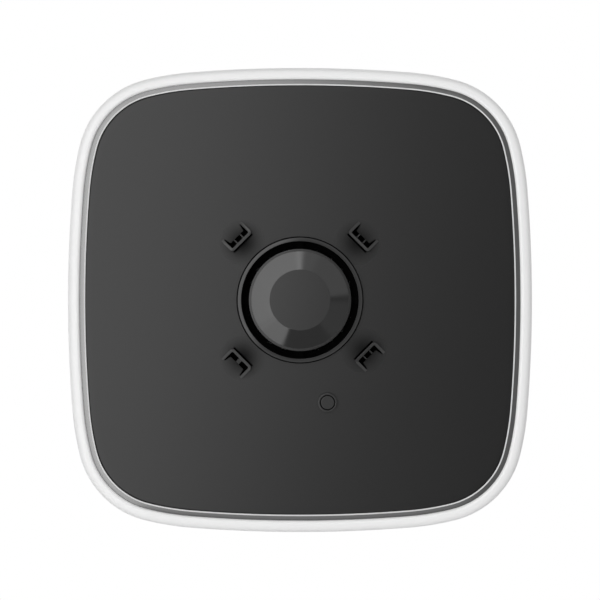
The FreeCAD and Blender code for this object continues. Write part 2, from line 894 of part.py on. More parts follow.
def rear_housing():
    """The back shell: tapered walls, the bay for the bracket and all that stands in it."""
    body = new_body("rear_housing")
    shell = pad(body, outline(body, 0, s.parting_depth), rear_height, inward=True, draft=s.rear_draft)
    document.recompute()
    dress(body, "Fillet", shell, edges_at(shell, s.wall_gap), s.rear_round)
    pocket(body, outline(body, s.shell_wall, s.parting_depth), rear_height - s.shell_wall,
           inward=True, draft=s.rear_draft)
    wall = s.shell_wall
    plate(body, (-bay_half - wall, bay_half + wall), (bay_bottom - wall, bay_top + wall),
          s.bay_corner + wall, (s.wall_gap, bay_inner))
    plate(body, (-bay_half, bay_half), (bay_bottom, bay_top), s.bay_corner, (s.wall_gap, bay_face), cut=True)
    rods(body, corner_places, (s.wall_gap, s.parting_depth), s.corner_boss)
    rods(body, board_posts, (bay_face, s.board_depth), s.board_post)
    rods(body, door_screw_places, (bay_face, bay_inner + s.door_screw_length), s.door_boss)
    add_lock_tunnel(body)
    neck_back = floor_back - s.running_gap
    rods(body, stud_places, (neck_back, bay_face), s.stud_neck)
    rods(body, stud_places, (neck_back - s.stud_head_height, neck_back), s.stud_head)
    cut_battery_well(body)
    cut_rear_holes(body)
    pocket(body, outline(body, s.seal_inset, s.parting_depth), s.seal_height, inward=True)
    return body


def add_lock_tunnel(body):
    """The walls round the locking screw, from the foot of the shell to the bay."""
    half = s.lock_lug_half_width
    foot = rear_shrink + s.shell_wall - s.half_width
    slabs(body, [((-half, half), (foot, bay_bottom))], (s.wall_gap + s.shell_wall / 2, s.lock_tunnel_top))
    upright_rod(body, 0, s.lock_screw_depth, (-s.half_width, bay_bottom), lock_screw_hole, cut=True)
    upright_rod(body, 0, s.lock_screw_depth, (-s.half_width, lock_screw_seat),
                s.lock_screw_head + s.running_gap, cut=True)


def cut_battery_well(body):
    """The opening for the batteries, its rebate for the door and the holes of the door's screws."""
    gap = s.fit_gap
    plate(body, (-door_half - gap, door_half + gap), (door_bottom - gap, door_top + gap),
          s.door_corner + gap, (bay_face, bay_face + s.door_wall + s.door_seal_wall), cut=True)
    plate(body, (-well_half, well_half), (well_bottom, well_top), s.well_corner, (bay_face, bay_inner), cut=True)
    rods(body, door_screw_places, (bay_face, bay_face + s.door_screw_length + s.running_gap),
         s.door_screw_shank + s.fit_gap, cut=True)


def cut_rear_holes(body):
    rods(body, corner_places, (s.wall_gap, s.parting_depth), corner_screw_hole, cut=True)
    rods(body, corner_places, (s.wall_gap, corner_screw_seat), s.corner_screw_head + s.running_gap, cut=True)
    rods(body, board_posts, (s.board_depth - s.board_screw_length, s.board_depth),
         s.board_screw_shank + s.fit_gap, cut=True)
    holes = new_sketch(body, bay_face)
    circle(holes, 0, cable_y, s.grommet_hole)
    circle(holes, plunger_x, plunger_y, s.plunger_stem + s.running_gap)
    circle(holes, -plunger_x, plunger_y, s.button_radius + s.running_gap)
    pocket(body, holes, s.bay_floor)


def front_housing():
    """The front ring: a rounded rim, and a flange inside it that carries the guide and the panel."""
    body = new_body("front_housing")
    ring = pad(body, outline(body, 0, s.parting_depth), s.body_depth - s.parting_depth)
    document.recompute()
    rounded = dress(body, "Fillet", ring, edges_at(ring, s.body_depth), s.front_round)
    groove = pocket(body, outline(body, s.guide_inset, s.body_depth), s.body_depth - s.flange_depth, inward=True)
    document.recompute()
    dress(body, "Fillet", groove, new_edges(groove, rounded, s.body_depth), s.rim_roll)
    pocket(body, outline(body, s.shell_wall, s.parting_depth), flange_back - s.parting_depth)
    pocket(body, outline(body, s.flange_inset, flange_back), s.flange_wall)
    rods(body, corner_places, (s.parting_depth, flange_back), s.corner_boss)
    screw_tip = corner_screw_seat + s.corner_screw_length + s.running_gap
    rods(body, corner_places, (s.parting_depth, screw_tip), corner_screw_hole, cut=True)
    windows = rods(body, lamp_places(), (flange_back, s.flange_depth), s.lamp_window, cut=True)
    panel_holes = rods(body, panel_screw_places, (flange_back, s.flange_depth),
                       s.panel_screw_shank + s.fit_gap, cut=True)
    lamp_screw_holes = rods(body, [(lamp_screw_x, 0)], (flange_back, flange_back + s.lamp_screw_bite),
                            s.lamp_screw_shank + s.fit_gap, cut=True)
    round_pattern(body, [windows, panel_holes, lamp_screw_holes], 4)
    return body


def housing_seal():
    body = new_body("housing_seal")
    back = s.parting_depth - s.seal_height + s.seal_gap
    height = s.seal_height - 2 * s.seal_gap
    pad(body, outline(body, s.seal_inset + s.seal_gap, back), height)
    pocket(body, outline(body, s.seal_inset + s.seal_gap + s.seal_width, back), height)
    return body


# The face: light guide and panel

def light_guide():
    """A clear ring between the rim and the panel, falling gently towards the rim."""
    body = new_body("light_guide")
    back = s.flange_depth + s.seal_gap
    height = s.guide_top - back
    ring = pad(body, outline(body, s.guide_inset + s.fit_gap, back), height)
    document.recompute()
    fall = dress(body, "Chamfer", ring, edges_at(ring, s.guide_top), s.guide_fall)
    fall.ChamferType = "Two distances"
    bind(fall, "Size2", s.guide_bevel)
    pocket(body, outline(body, panel_inset - s.fit_gap, back), height)
    return body


def domed_block(name, inset, back, crown):
    """The siren's outline raised to a crowned front."""
    body = new_body(name)
    pad(body, outline(body, inset, back), crown - back)
    above = new_sketch(body, 0, "XZ_Plane")
    draw_crown(above, crown)
    groove = body.newObject("PartDesign::Groove", "Groove")
    groove.Profile = above
    groove.ReferenceAxis = (above, ["V_Axis"])
    groove.Angle = 360
    return body


def panel_bosses():
    """Eight bosses in the skirt that the panel's screws bite into."""
    body = new_body("panel_bosses")
    bosses = rods(body, panel_screw_places, (s.flange_depth + s.seal_gap, panel_under), s.panel_boss)
    round_pattern(body, [bosses], 4)
    return body


def draw_crown(sketch, crown):
    """All that lies in front of a crowned surface, which is part of a very large sphere."""
    reach = s.half_width * PAST_CORNER
    lift = crown + s.catch_height
    centre = crown - s.crown_radius
    angle = math.asin(reach.value / s.crown_radius.value)
    edge = Vector(reach.value, centre.value + s.crown_radius.value * math.cos(angle), 0)
    top = Vector(0, crown.value, 0)
    sphere = Part.Circle(Vector(0, centre.value, 0), Vector(0, 0, 1), s.crown_radius.value)
    shapes = [
        Part.ArcOfCircle(sphere, math.pi / 2 - angle, math.pi / 2),
        Part.LineSegment(top, Vector(0, lift.value, 0)),
        Part.LineSegment(Vector(0, lift.value, 0), Vector(reach.value, lift.value, 0)),
        Part.LineSegment(Vector(reach.value, lift.value, 0), edge),
    ]
    items = list(sketch.addGeometry(shapes, False))
    rules = Rules(sketch)
    for item, after in zip(items, items[1:] + items[:1]):
        rules.add("Coincident", item, 2, after, 1)
    rules.place(items[0], 3, as_size(0), centre)
    rules.tie("Radius", items[0], size=s.crown_radius)
    rules.add("Vertical", items[1])
    rules.add("Horizontal", items[2])
    rules.add("Vertical", items[3])
    rules.place(items[2], 2, reach, lift)
    rules.apply()


def catch_wall():
    """A raised wall in a U, open away from the middle and sloping down to the panel."""
    body = new_body("catch_wall")
    half = s.catch_width / 2
    back = -s.catch_wall / 2
    front = back + s.catch_reach
    foot = panel_under
    top = s.panel_crown + s.catch_height
    side = new_sketch(body, 0, "YZ_Plane")
    polygon(side, [(back, foot), (front, foot), (front, s.panel_crown), (back + s.catch_wall, top), (back, top)])
    wall = pad(body, side, s.catch_width)
    wall.Midplane = True
    document.recompute()
    corners = [f"Edge{number}" for number, edge in enumerate(wall.Shape.Edges, 1)
               if edge.BoundBox.ZLength > s.catch_height.value and abs(edge.BoundBox.YMax - back.value) < 1e-4]
    dress(body, "Fillet", wall, corners, s.catch_corner)
    inner = half - s.catch_wall
    slabs(body, [((-inner, inner), (back + s.catch_wall, front + s.catch_wall))], (foot, top), cut=True)
    return body


def catch_openings(name, holes, rib):
    """What goes through the panel at a catch: holes between ribs, and slots along the walls."""
    body = new_body(name)
    inner = s.catch_width / 2 - s.catch_wall
    back = s.catch_wall / 2
    front = back + s.catch_pocket
    far = s.catch_reach - s.catch_wall / 2 - s.catch_slot_tip
    hole = (2 * inner - (holes - 1) * rib) / holes
    through = (s.flange_depth, s.panel_crown)
    sketch = new_sketch(body, s.flange_depth)
    for turn in range(1, holes - 1):
        left = turn * (hole + rib) - inner
        polygon(sketch, [(left, back), (left + hole, back), (left + hole, front), (left, front)])
    for sign in (-1, 1):
        edge, side = sign * inner, sign * (inner - hole)
        slot, tip = sign * (inner - s.catch_slot), sign * (inner - s.catch_slot_tip)
        polygon(sketch, [(edge, back), (edge, far), (tip, far), (slot, front), (side, front), (side, back)])
    pad(body, sketch, s.panel_crown - s.flange_depth)
    half = s.catch_width / 2 - s.catch_slot_tip
    rear = -s.catch_wall / 2 - s.catch_back_slot
    slabs(body, [((-half, half), (rear, -s.catch_wall / 2))], through)
    return body


def placed_on_panel(source, name, quarters=range(4)):
    """Places of the catches, the lower right one shifted so that the cover fits one way."""
    copies = []
    for quarter in quarters:
        angle = 45 + 90 * quarter
        copy = document.addObject("App::Link", name)
        copy.LinkedObject = source
        turn = FreeCAD.Rotation(Vector(0, 0, 1), angle - 90)
        copy.Placement = FreeCAD.Placement(Vector(0, 0, 0), FACING_OUT.Rotation.multiply(turn))
        shift = s.catch_key_offset if quarter == SHIFTED_CATCH else as_size(0)
        along, across = math.cos(math.radians(angle)), math.sin(math.radians(angle))
        bind(copy, "Placement.Base.x", catch_radius * along - shift * across)
        bind(copy, "Placement.Base.z", catch_radius * across + shift * along)
        copies.append(copy)
    return copies


def panel_holes():
    """The screws' pilot holes, the horn's hole and the vent's stepped hole."""
    body = new_body("panel_holes")
    through = (s.flange_depth, s.panel_crown + s.catch_height)
    pilot_end = flange_back + s.panel_screw_length + s.running_gap
    pilots = rods(body, panel_screw_places, (s.flange_depth, pilot_end), s.panel_screw_shank + s.fit_gap)
    round_pattern(body, [pilots], 4)
    rods(body, [(0, 0)], through, horn_lip + s.running_gap)
    rods(body, [(s.vent_x, vent_y)], through, s.vent_stem + s.fit_gap)
    rods(body, [(s.vent_x, vent_y)], (vent_seat, s.panel_crown + s.catch_height), s.vent_head + s.running_gap)
    return body


def vent_collar():
    """The raised collar round the vent, and the boss behind it."""
    body = new_body("vent_collar")
    rods(body, [(s.vent_x, vent_y)], (vent_foot, s.panel_crown), s.vent_collar)
    cone = body.newObject("PartDesign::AdditiveCone", "Cone")
    bind(cone, "Radius1", s.vent_collar)
    bind(cone, "Radius2", s.vent_collar_top)
    bind(cone, "Height", s.vent_collar_rise)
    for axis, place in (("x", s.vent_x), ("y", vent_y), ("z", s.panel_crown)):
        bind(cone, f"Placement.Base.{axis}", place)
    return body


def front_panel():
    """The dark face: a crowned shell with catches and a collar, open where they need it."""
    back = s.flange_depth + s.seal_gap
    whole = document.addObject("Part::MultiFuse", "panel_with_catches")
    whole.Shapes = [shell_of_panel(back), panel_bosses(), vent_collar()]
    whole.Shapes += placed_on_panel(catch_wall(), "catch")
    openings = document.addObject("Part::MultiFuse", "panel_openings")
    narrow_ribs = catch_openings("catch_openings", 3, s.catch_rib)
    wide_rib = catch_openings("wide_rib_openings", 2, s.catch_wide_rib)
    others = [quarter for quarter in range(4) if quarter != WIDE_RIB_CATCH]
    openings.Shapes = [panel_holes()] + placed_on_panel(narrow_ribs, "catch_opening", others)
    openings.Shapes += placed_on_panel(wide_rib, "wide_rib_opening", [WIDE_RIB_CATCH])
    panel = document.addObject("Part::Cut", "front_panel")
    panel.Base = whole
    panel.Tool = openings
    panel.Label = "front_panel"
    return panel


def shell_of_panel(back):
    """A thin crowned shell with a skirt that stands on the flange."""
    shell = document.addObject("Part::Cut", "panel_shell")
    shell.Base = domed_block("panel_outside", panel_inset, back, s.panel_crown)
    shell.Tool = domed_block("panel_inside", panel_inset + s.panel_wall, back, panel_under)
    return shell


# The horn

def horn_ring():
    """The rounded lip round the horn's mouth, with a flange behind the panel and a ledge inside."""
    body = new_body("horn_ring")
    flange_front = panel_under - s.running_gap
    flange_rear = flange_front - s.horn_flange_wall
    ledge = s.horn_mouth - s.horn_ledge
    lip = turned(body, [
        (ledge, s.horn_base_depth),
        (horn_lip, s.horn_base_depth),
        (horn_lip, flange_rear),
        (horn_flange, flange_rear),
        (horn_flange, flange_front),
        (horn_lip, flange_front),
        (horn_lip, s.horn_lip_depth),
        (s.horn_mouth, s.horn_lip_depth),
        (s.horn_mouth, ledge_top),
        (ledge, ledge_top),
    ])
    document.recompute()
    dress(body, "Fillet", lip, edges_at(lip, s.horn_lip_depth), s.horn_lip_round)
    return body


def horn_cone():
    """The blunt cone in front of the horn, a hollow cap on four arms that sound passes round."""
    body = new_body("horn_cone")
    foot = grille_top + s.seal_gap
    shoulder = s.cone_tip_depth - s.cone_rise
    inner = cone_rim - s.cone_wall
    turned(body, [
        (0, s.cone_tip_depth),
        (cone_tip, s.cone_tip_depth),
        (cone_base, shoulder),
        (cone_rim, shoulder),
        (cone_rim, foot),
        (inner, foot),
        (inner, shoulder - s.cone_wall),
        (cone_tip - s.cone_wall / 2, s.cone_tip_depth - s.cone_wall),
        (0, s.cone_tip_depth - s.cone_wall),
    ])
    half = s.cone_arm_width / 2
    reach = (inner + s.cone_wall / 2, s.horn_mouth - s.running_gap)
    arm = slabs(body, [(reach, (-half, half))], (foot, foot + s.cone_arm_height))
    round_pattern(body, [arm], 4)
    return body


def sound_grille():
    """A slotted disc behind the cone that keeps insects out."""
    body = new_body("sound_grille")
    rods(body, [(0, 0)], (ledge_top, grille_top), s.horn_mouth - s.fit_gap)
    half = s.grille_slot_width / 2
    slot = slabs(body, [((s.grille_slot_start, grille_slot_end), (-half, half))],
                 (ledge_top, grille_top), cut=True)
    round_pattern(body, [slot], GRILLE_SLOTS)
    return body


def horn_chamber():
    """The cup behind the horn that the sounder disc stands in."""
    body = new_body("horn_chamber")
    back = bay_inner + s.seal_gap
    top = s.horn_base_depth - s.seal_gap
    inner = horn_lip - s.chamber_wall
    turned(body, [
        (0, back),
        (horn_lip, back),
        (horn_lip, top),
        (inner, top),
        (inner, chamber_floor),
        (0, chamber_floor),
    ])
    return body


def piezo_seat():
    """The soft ring that the sounder disc rests on."""
    body = new_body("piezo_seat")
    turned(body, [
        (piezo_radius - s.piezo_seat_width, chamber_floor),
        (piezo_radius, chamber_floor),
        (piezo_radius, piezo_seat_top),
        (piezo_radius - s.piezo_seat_width, piezo_seat_top),
    ])
    return body


def piezo_disc():
    body = new_body("piezo_disc")
    rods(body, [(0, 0)], (piezo_seat_top, piezo_seat_top + s.piezo_wall), piezo_radius)
    return body


# The vent in the panel

def vent_plug():
    """A plug that lets the housing breathe through its membrane and keeps water out."""
    body = new_body("vent_plug")
    place = [(s.vent_x, vent_y)]
    seat = vent_seat + s.seal_gap
    rods(body, place, (seat, seat + s.vent_head_height), s.vent_head)
    rods(body, place, (seat - s.vent_stem_length, seat), s.vent_stem)
    rods(body, place, (seat - s.vent_stem_length, seat), s.vent_stem / 2, cut=True)
    return body


def vent_membrane():
    body = new_body("vent_membrane")
    top = vent_seat - s.vent_stem_length
    rods(body, [(s.vent_x, vent_y)], (top - s.membrane_wall, top), s.vent_stem)
    return body


# The lamps

def lamp_board():
    """A narrow circuit board that runs right round, under the flange."""
    body = new_body("lamp_board")
    span = (lamp_board_back, lamp_board_front)
    pad(body, outline(body, s.shell_wall + s.running_gap, lamp_board_back), s.board_wall)
    pocket(body, outline(body, s.lamp_board_inner, lamp_board_back), s.board_wall)
    rods(body, corner_places, span, s.corner_boss + s.running_gap, cut=True)
    screw_hole = rods(body, [(lamp_screw_x, 0)], span, s.lamp_screw_shank + s.fit_gap, cut=True)
    round_pattern(body, [screw_hole], 4)
    return body


def lamps():
    """Twenty lamps on the ring board, each in its own window of the flange."""
    body = new_body("lamps")
    half_length = s.lamp_length / 2
    half_width = s.lamp_width / 2
    spots = [((x - half_width, x + half_width), (y - half_length, y + half_length)) for x, y in lamp_places()]
    one_quarter = slabs(body, spots, (lamp_board_front, lamp_board_front + s.lamp_height))
    round_pattern(body, [one_quarter], 4)
    return body


# The batteries and their compartment

def battery_holder():
    """A box inside the back shell, open towards the door."""
    body = new_body("battery_holder")
    wall = s.holder_wall
    back = bay_inner + s.seal_gap
    plate(body, (-well_half - wall, well_half + wall), (well_bottom - wall, well_top + wall),
          s.well_corner + wall, (back, well_front + wall))
    plate(body, (-well_half, well_half), (well_bottom, well_top), s.well_corner, (back, well_front), cut=True)
    return body


def battery_places():
    middle = (BATTERIES - 1) / 2
    return [battery_pitch * (number - middle) for number in range(BATTERIES)]


def battery(number, x):
    """One lithium cell, with its nub up or down in turn."""
    body = new_body(f"battery_{number}")
    nub = s.battery_nub_height
    nub_up = number % 2 == 1
    bottom, top = (battery_bottom, battery_top - nub) if nub_up else (battery_bottom + nub, battery_top)
    nub_range = (top, battery_top) if nub_up else (battery_bottom, bottom)
    upright_rod(body, x, battery_depth, (bottom, top), s.battery_radius)
    upright_rod(body, x, battery_depth, nub_range, s.battery_nub_radius)
    return body


def battery_contacts():
    body = new_body("battery_contacts")
    half = s.contact_size / 2
    spans = [(contact_bottom, contact_bottom + s.contact_wall), (contact_top - s.contact_wall, contact_top)]
    squares = [((x - half, x + half), span) for x in battery_places() for span in spans]
    slabs(body, squares, (battery_depth - half, battery_depth + half))
    return body


def battery_door():
    """The door over the batteries, flush with the floor of the bay."""
    body = new_body("battery_door")
    plate(body, (-door_half, door_half), (door_bottom, door_top), s.door_corner,
          (bay_face, bay_face + s.door_wall))
    hole = s.door_screw_shank + s.fit_gap
    rods(body, door_screw_places, (bay_face, bay_face + s.door_wall), hole, cut=True)
    for x, y in door_screw_places:
        countersink(body, x, y, s.door_screw_head + s.fit_gap, hole)
    return body


def countersink(body, x, y, wide, narrow):
    cone = body.newObject("PartDesign::SubtractiveCone", "Cone")
    bind(cone, "Radius1", wide)
    bind(cone, "Radius2", narrow)
    bind(cone, "Height", wide - narrow)
    for axis, place in (("x", x), ("y", y), ("z", bay_face)):
        bind(cone, f"Placement.Base.{axis}", place)


def door_seal():
    body = new_body("door_seal")
    back = bay_face + s.door_wall
    gap = s.fit_gap
    out = s.door_ledge - gap
    span = (back, back + s.door_seal_wall)
    plate(body, (-well_half - out, well_half + out), (well_bottom - out, well_top + out),
          s.well_corner + out, span)
    plate(body, (-well_half - gap, well_half + gap), (well_bottom - gap, well_top + gap),
          s.well_corner + gap, span, cut=True)
    return body


# The main board and what is soldered to it

def main_board():
    body = new_body("main_board")
    span = (s.board_depth, board_front)
    half = board_half
    plate(body, (-half, half), (board_bottom, board_top), s.board_corner, span)
    rods(body, board_posts, span, s.board_screw_shank + s.fit_gap, cut=True)
    return body


def on_board(name, x, y, width, length, height):
    """A square part on the front of the board."""
    body = new_body(name)
    front = board_front + s.seal_gap
    slabs(body, [((x - width / 2, x + width / 2), (y - length / 2, y + length / 2))], (front, front + height))
    return body


def processor():
    return on_board("processor", s.processor_x, processor_y,
                    s.processor_side, s.processor_side, s.processor_height)


def radio_module():
    return on_board("radio_module", radio_x, radio_y, s.radio_width, s.radio_length, s.radio_height)


def power_coil():
    """The coil that steps the battery voltage up for the sounder."""
    body = new_body("power_coil")
    front = board_front + s.seal_gap
    top = front + s.coil_height
    place = [(s.coil_x, coil_y)]
    rods(body, place, (front, top), s.coil_core)
    rods(body, place, (front, front + s.coil_rim), s.coil_radius)
    rods(body, place, (top - s.coil_rim, top), s.coil_radius)
    return body


def capacitors():
    body = new_body("capacitors")
    front = board_front + s.seal_gap
    places = [(s.capacitor_x - turn * s.capacitor_pitch, capacitor_y) for turn in range(CAPACITORS)]
    rods(body, places, (front, front + s.capacitor_height), s.capacitor_radius)
    return body


def terminal_places():
    return [s.terminal_x + turn * s.terminal_pitch for turn in (-1, 0, 1)]


def terminal_block():
    """Three clamps for the wires of an outside supply."""
    body = on_board("terminal_block", s.terminal_x, terminal_y,
                    s.terminal_width, s.terminal_depth, s.terminal_height)
    front = board_front + s.seal_gap
    middle = front + s.terminal_height / 2
    foot = terminal_y - s.terminal_depth / 2
    for x in terminal_places():
        upright_rod(body, x, middle - s.terminal_screw, (foot, terminal_y), s.terminal_screw, cut=True)
    screws = [(x, terminal_y) for x in terminal_places()]
    rods(body, screws, (middle, front + s.terminal_height), s.terminal_screw + s.fit_gap, cut=True)
    return body


def terminal_screws():
    body = new_body("terminal_screws")
    middle = board_front + s.seal_gap + s.terminal_height / 2
    screws = [(x, terminal_y) for x in terminal_places()]
    rods(body, screws, (middle + s.fit_gap, middle + s.terminal_height / 2 - s.fit_gap), s.terminal_screw)
    return body


def antenna():
    """A wire that rises from the board and runs up beside the horn."""
    body = new_body("antenna")
    front = board_front + s.seal_gap
    rise, bend, run = s.antenna_stand, s.antenna_bend, s.antenna_length
    wire = new_sketch(body, front)
    circle(wire, antenna_x, antenna_y, s.antenna_wire)
    path = new_sketch(body, antenna_x, "YZ_Plane")
    draw_bent_path(path, antenna_y, front, rise, bend, run)
    pipe = body.newObject("PartDesign::AdditivePipe", "Pipe")
    pipe.Profile = wire
    pipe.Spine = path
    return body


def draw_bent_path(sketch, start_y, start_z, rise, bend, run):
    """Up, round one bend and then along."""
    x, z = start_y.value, start_z.value
    top, radius, far = z + rise.value, bend.value, x + run.value
    corner = Part.Circle(Vector(x + radius, top - radius, 0), Vector(0, 0, 1), radius)
    shapes = [
        Part.LineSegment(Vector(x, z, 0), Vector(x, top - radius, 0)),
        Part.ArcOfCircle(corner, math.pi / 2, math.pi),
        Part.LineSegment(Vector(x + radius, top, 0), Vector(far, top, 0)),
    ]
    up, turn, along = sketch.addGeometry(shapes, False)
    rules = Rules(sketch)
    rules.add("Tangent", up, 2, turn, 2)
    rules.add("Tangent", turn, 1, along, 1)
    rules.add("Vertical", up)
    rules.add("Horizontal", along)
    rules.place(up, 1, start_y, start_z)
    rules.tie("Radius", turn, size=bend)
    rules.place(along, 2, start_y + run, start_z + rise)
    rules.apply()


# The tamper plunger, the power button and their switches

def tamper_plunger():
    """A stem through the bay's floor that the bracket holds in, with a collar for its spring."""
    body = new_body("tamper_plunger")
    place = [(plunger_x, plunger_y)]
    rods(body, place, (bay_face, collar_back), s.plunger_stem)
    rods(body, place, (collar_back, collar_front), s.plunger_collar)
    rods(body, place, (collar_front, key_back - s.running_gap), s.plunger_tip)
    return body


def tamper_spring():
    """The coil spring that drives the plunger out against the bracket."""
    body = new_body("tamper_spring")
    start = collar_front + s.spring_wire / 2 + s.running_gap
    length = s.board_depth - s.spring_wire / 2 - s.running_gap - start
    wire = new_sketch(body, 0, "XZ_Plane")
    circle(wire, s.spring_radius, start, s.spring_wire / 2)
    coil = body.newObject("PartDesign::AdditiveHelix", "Helix")
    coil.Profile = wire
    coil.ReferenceAxis = (origin_feature(body, "Z_Axis"), [""])
    coil.Mode = "height-turns-growth"
    bind(coil, "Height", length)
    bind(coil, "Turns", s.spring_turns)
    bind(body, "Placement.Base.x", plunger_x)
    bind(body, "Placement.Base.z", plunger_y)
    return body


def key_switch(name, x, y):
    """A small press switch on the back of the board, with its key towards the wall."""
    body = new_body(name)
    half = s.switch_side / 2
    slabs(body, [((x - half, x + half), (y - half, y + half))], (switch_back, s.board_depth - s.seal_gap))
    rods(body, [(x, y)], (key_back, switch_back), s.switch_key)
    return body


def power_button():
    """A round button in the floor of the bay, reached when the siren is off its bracket."""
    body = new_body("power_button")
    place = [(-plunger_x, plunger_y)]
    collar = bay_inner + s.running_gap
    front = collar + s.button_collar_wall
    rods(body, place, (bay_face + s.button_recess, collar), s.button_radius)
    rods(body, place, (collar, front), s.button_collar)
    rods(body, place, (front, key_back - s.button_travel - s.running_gap), s.button_stem)
    return body


def cable_grommet():
    """A soft plug in the cable way, closed by a thin skin until a cable is pushed through."""
    body = new_body("cable_grommet")
    place = [(0, cable_y)]
    lip = bay_inner + s.seal_gap + s.grommet_lip
    rods(body, place, (bay_face, lip), s.grommet_hole - s.seal_gap)
    rods(body, place, (bay_inner + s.seal_gap, lip), s.grommet_flange)
    rods(body, place, (bay_face, bay_inner), s.grommet_bore, cut=True)
    return body


# Screws

def screw(name, head, head_height, shank, length):
    """A round-headed screw on its own axis: its head behind z = 0 and its shank in front."""
    body = new_body(name)
    turned(body, [(0, -head_height), (head, -head_height), (head, 0), (shank, 0), (shank, length), (0, length)])
    return body


def set_of(name, source, places, flipped=False):
    """Copies of one screw as one group of separate solids."""
    copies = []
    turn = FACING_OUT.Rotation
    if flipped:
        turn = turn.multiply(FreeCAD.Rotation(Vector(1, 0, 0), 180))
    for x, y, z in places:
        copy = document.addObject("App::Link", f"{name}_copy")
        copy.LinkedObject = source
        copy.Placement = FreeCAD.Placement(Vector(0, 0, 0), turn)
        bind(copy, "Placement.Base.x", x)
        bind(copy, "Placement.Base.y", -as_size(z))
        bind(copy, "Placement.Base.z", y)
        copies.append(copy)
    group = document.addObject("Part::Compound", name)
    group.Links = copies
    group.Label = name
    return group


def all_quarters(places):
    return [quarter_turned(as_size(x), as_size(y), turns) for turns in range(4) for x, y in places]


def corner_screws():
    one = screw("corner_screw", s.corner_screw_head, s.corner_screw_head_height,
                s.corner_screw_shank, s.corner_screw_length)
    return set_of("corner_screws", one, [(x, y, corner_screw_seat) for x, y in corner_places])


def panel_screws():
    one = screw("panel_screw", s.panel_screw_head, s.panel_screw_head_height,
                s.panel_screw_shank, s.panel_screw_length)
    return set_of("panel_screws", one, [(x, y, flange_back) for x, y in all_quarters(panel_screw_places)])


def lamp_board_screws():
    one = screw("lamp_board_screw", s.lamp_screw_head, s.lamp_screw_head_height,
                s.lamp_screw_shank, s.board_wall + s.lamp_screw_bite - s.running_gap)
    places = [(x, y, lamp_board_back) for x, y in all_quarters([(lamp_screw_x, 0)])]
    return set_of("lamp_board_screws", one, places)


def board_screws():
    one = screw("board_screw", s.board_screw_head, s.board_screw_head_height,
                s.board_screw_shank, s.board_screw_length)
    places = [(x, y, board_front) for x, y in board_posts]
    return set_of("board_screws", one, places, flipped=True)


def door_screws():
    body = new_body("door_screw")
    head, shank = s.door_screw_head, s.door_screw_shank
    turned(body, [(0, 0), (head, 0), (shank, head - shank), (shank, s.door_screw_length), (0, s.door_screw_length)])
    places = [(x, y, bay_face + s.seal_gap) for x, y in door_screw_places]
    return set_of("door_screws", body, places)


def lock_screw():
    """The screw that locks the siren to the bracket's lug, from below."""
    body = new_body("lock_screw")
    seat = lock_screw_seat
    tip = s.lock_screw_bite - bracket_half
    upright_rod(body, 0, s.lock_screw_depth, (seat - s.lock_screw_head_height, seat), s.lock_screw_head)
    upright_rod(body, 0, s.lock_screw_depth, (seat, tip), s.lock_screw_shank)
    return body


# The whole siren

def make_pieces():
    pieces = [
        mounting_plate(), rear_housing(), front_housing(), housing_seal(),
        light_guide(), front_panel(),
        horn_ring(), horn_cone(), sound_grille(), horn_chamber(), piezo_seat(), piezo_disc(),
        vent_plug(), vent_membrane(),
        lamp_board(), lamps(),
        battery_holder(), battery_contacts(), battery_door(), door_seal(),
        main_board(), processor(), radio_module(), power_coil(), capacitors(),
        terminal_block(), terminal_screws(), antenna(),
        tamper_plunger(), tamper_spring(), key_switch("tamper_switch", plunger_x, plunger_y),
        power_button(), key_switch("power_switch", -plunger_x, plunger_y), cable_grommet(),
        corner_screws(), panel_screws(), lamp_board_screws(), board_screws(), door_screws(), lock_screw(),
    ]
    pieces += [battery(number, x) for number, x in enumerate(battery_places(), 1)]
    return pieces


def check_document(pieces):
    """Stop if any feature failed or any piece has no sound shape."""
    failed = [item.Name for item in document.Objects if {"Invalid", "Error"} & set(item.State)]
    if failed:
        raise RuntimeError(f"features that failed: {failed}")
    for piece in pieces:
        shape = piece.Shape
        if shape.isNull() or not shape.isValid() or not shape.Solids:
            raise RuntimeError(f"{piece.Label} has no sound shape")


def write_steps(pieces):
    os.makedirs("parts", exist_ok=True)
    for piece in pieces:
        piece.Shape.exportStep(f"parts/{piece.Label}.step")
        print(piece.Label, len(piece.Shape.Solids), "solids", round(piece.Shape.Volume), "cubic mm")


pieces = make_pieces()
document.recompute()
check_document(pieces)
write_steps(pieces)
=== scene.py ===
# %% [markdown]
# # An outdoor alarm siren
#
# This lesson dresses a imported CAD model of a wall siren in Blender. The siren is a pale
# round-cornered housing with a smoky light guide round a dark, slightly crowned face. A horn
# with a blunt cone stands in the middle, four small catches hold an optional cover, and a
# breather vent sits below. Its back hangs on a wall bracket.
#
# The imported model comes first. Every piece that follows is made in the same frame and in
# metres: X to the right, Z up, the wall at Y = 0 and the siren's face towards -Y.

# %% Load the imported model
import json
import math

import bmesh
import bpy
from mathutils import Matrix, Vector


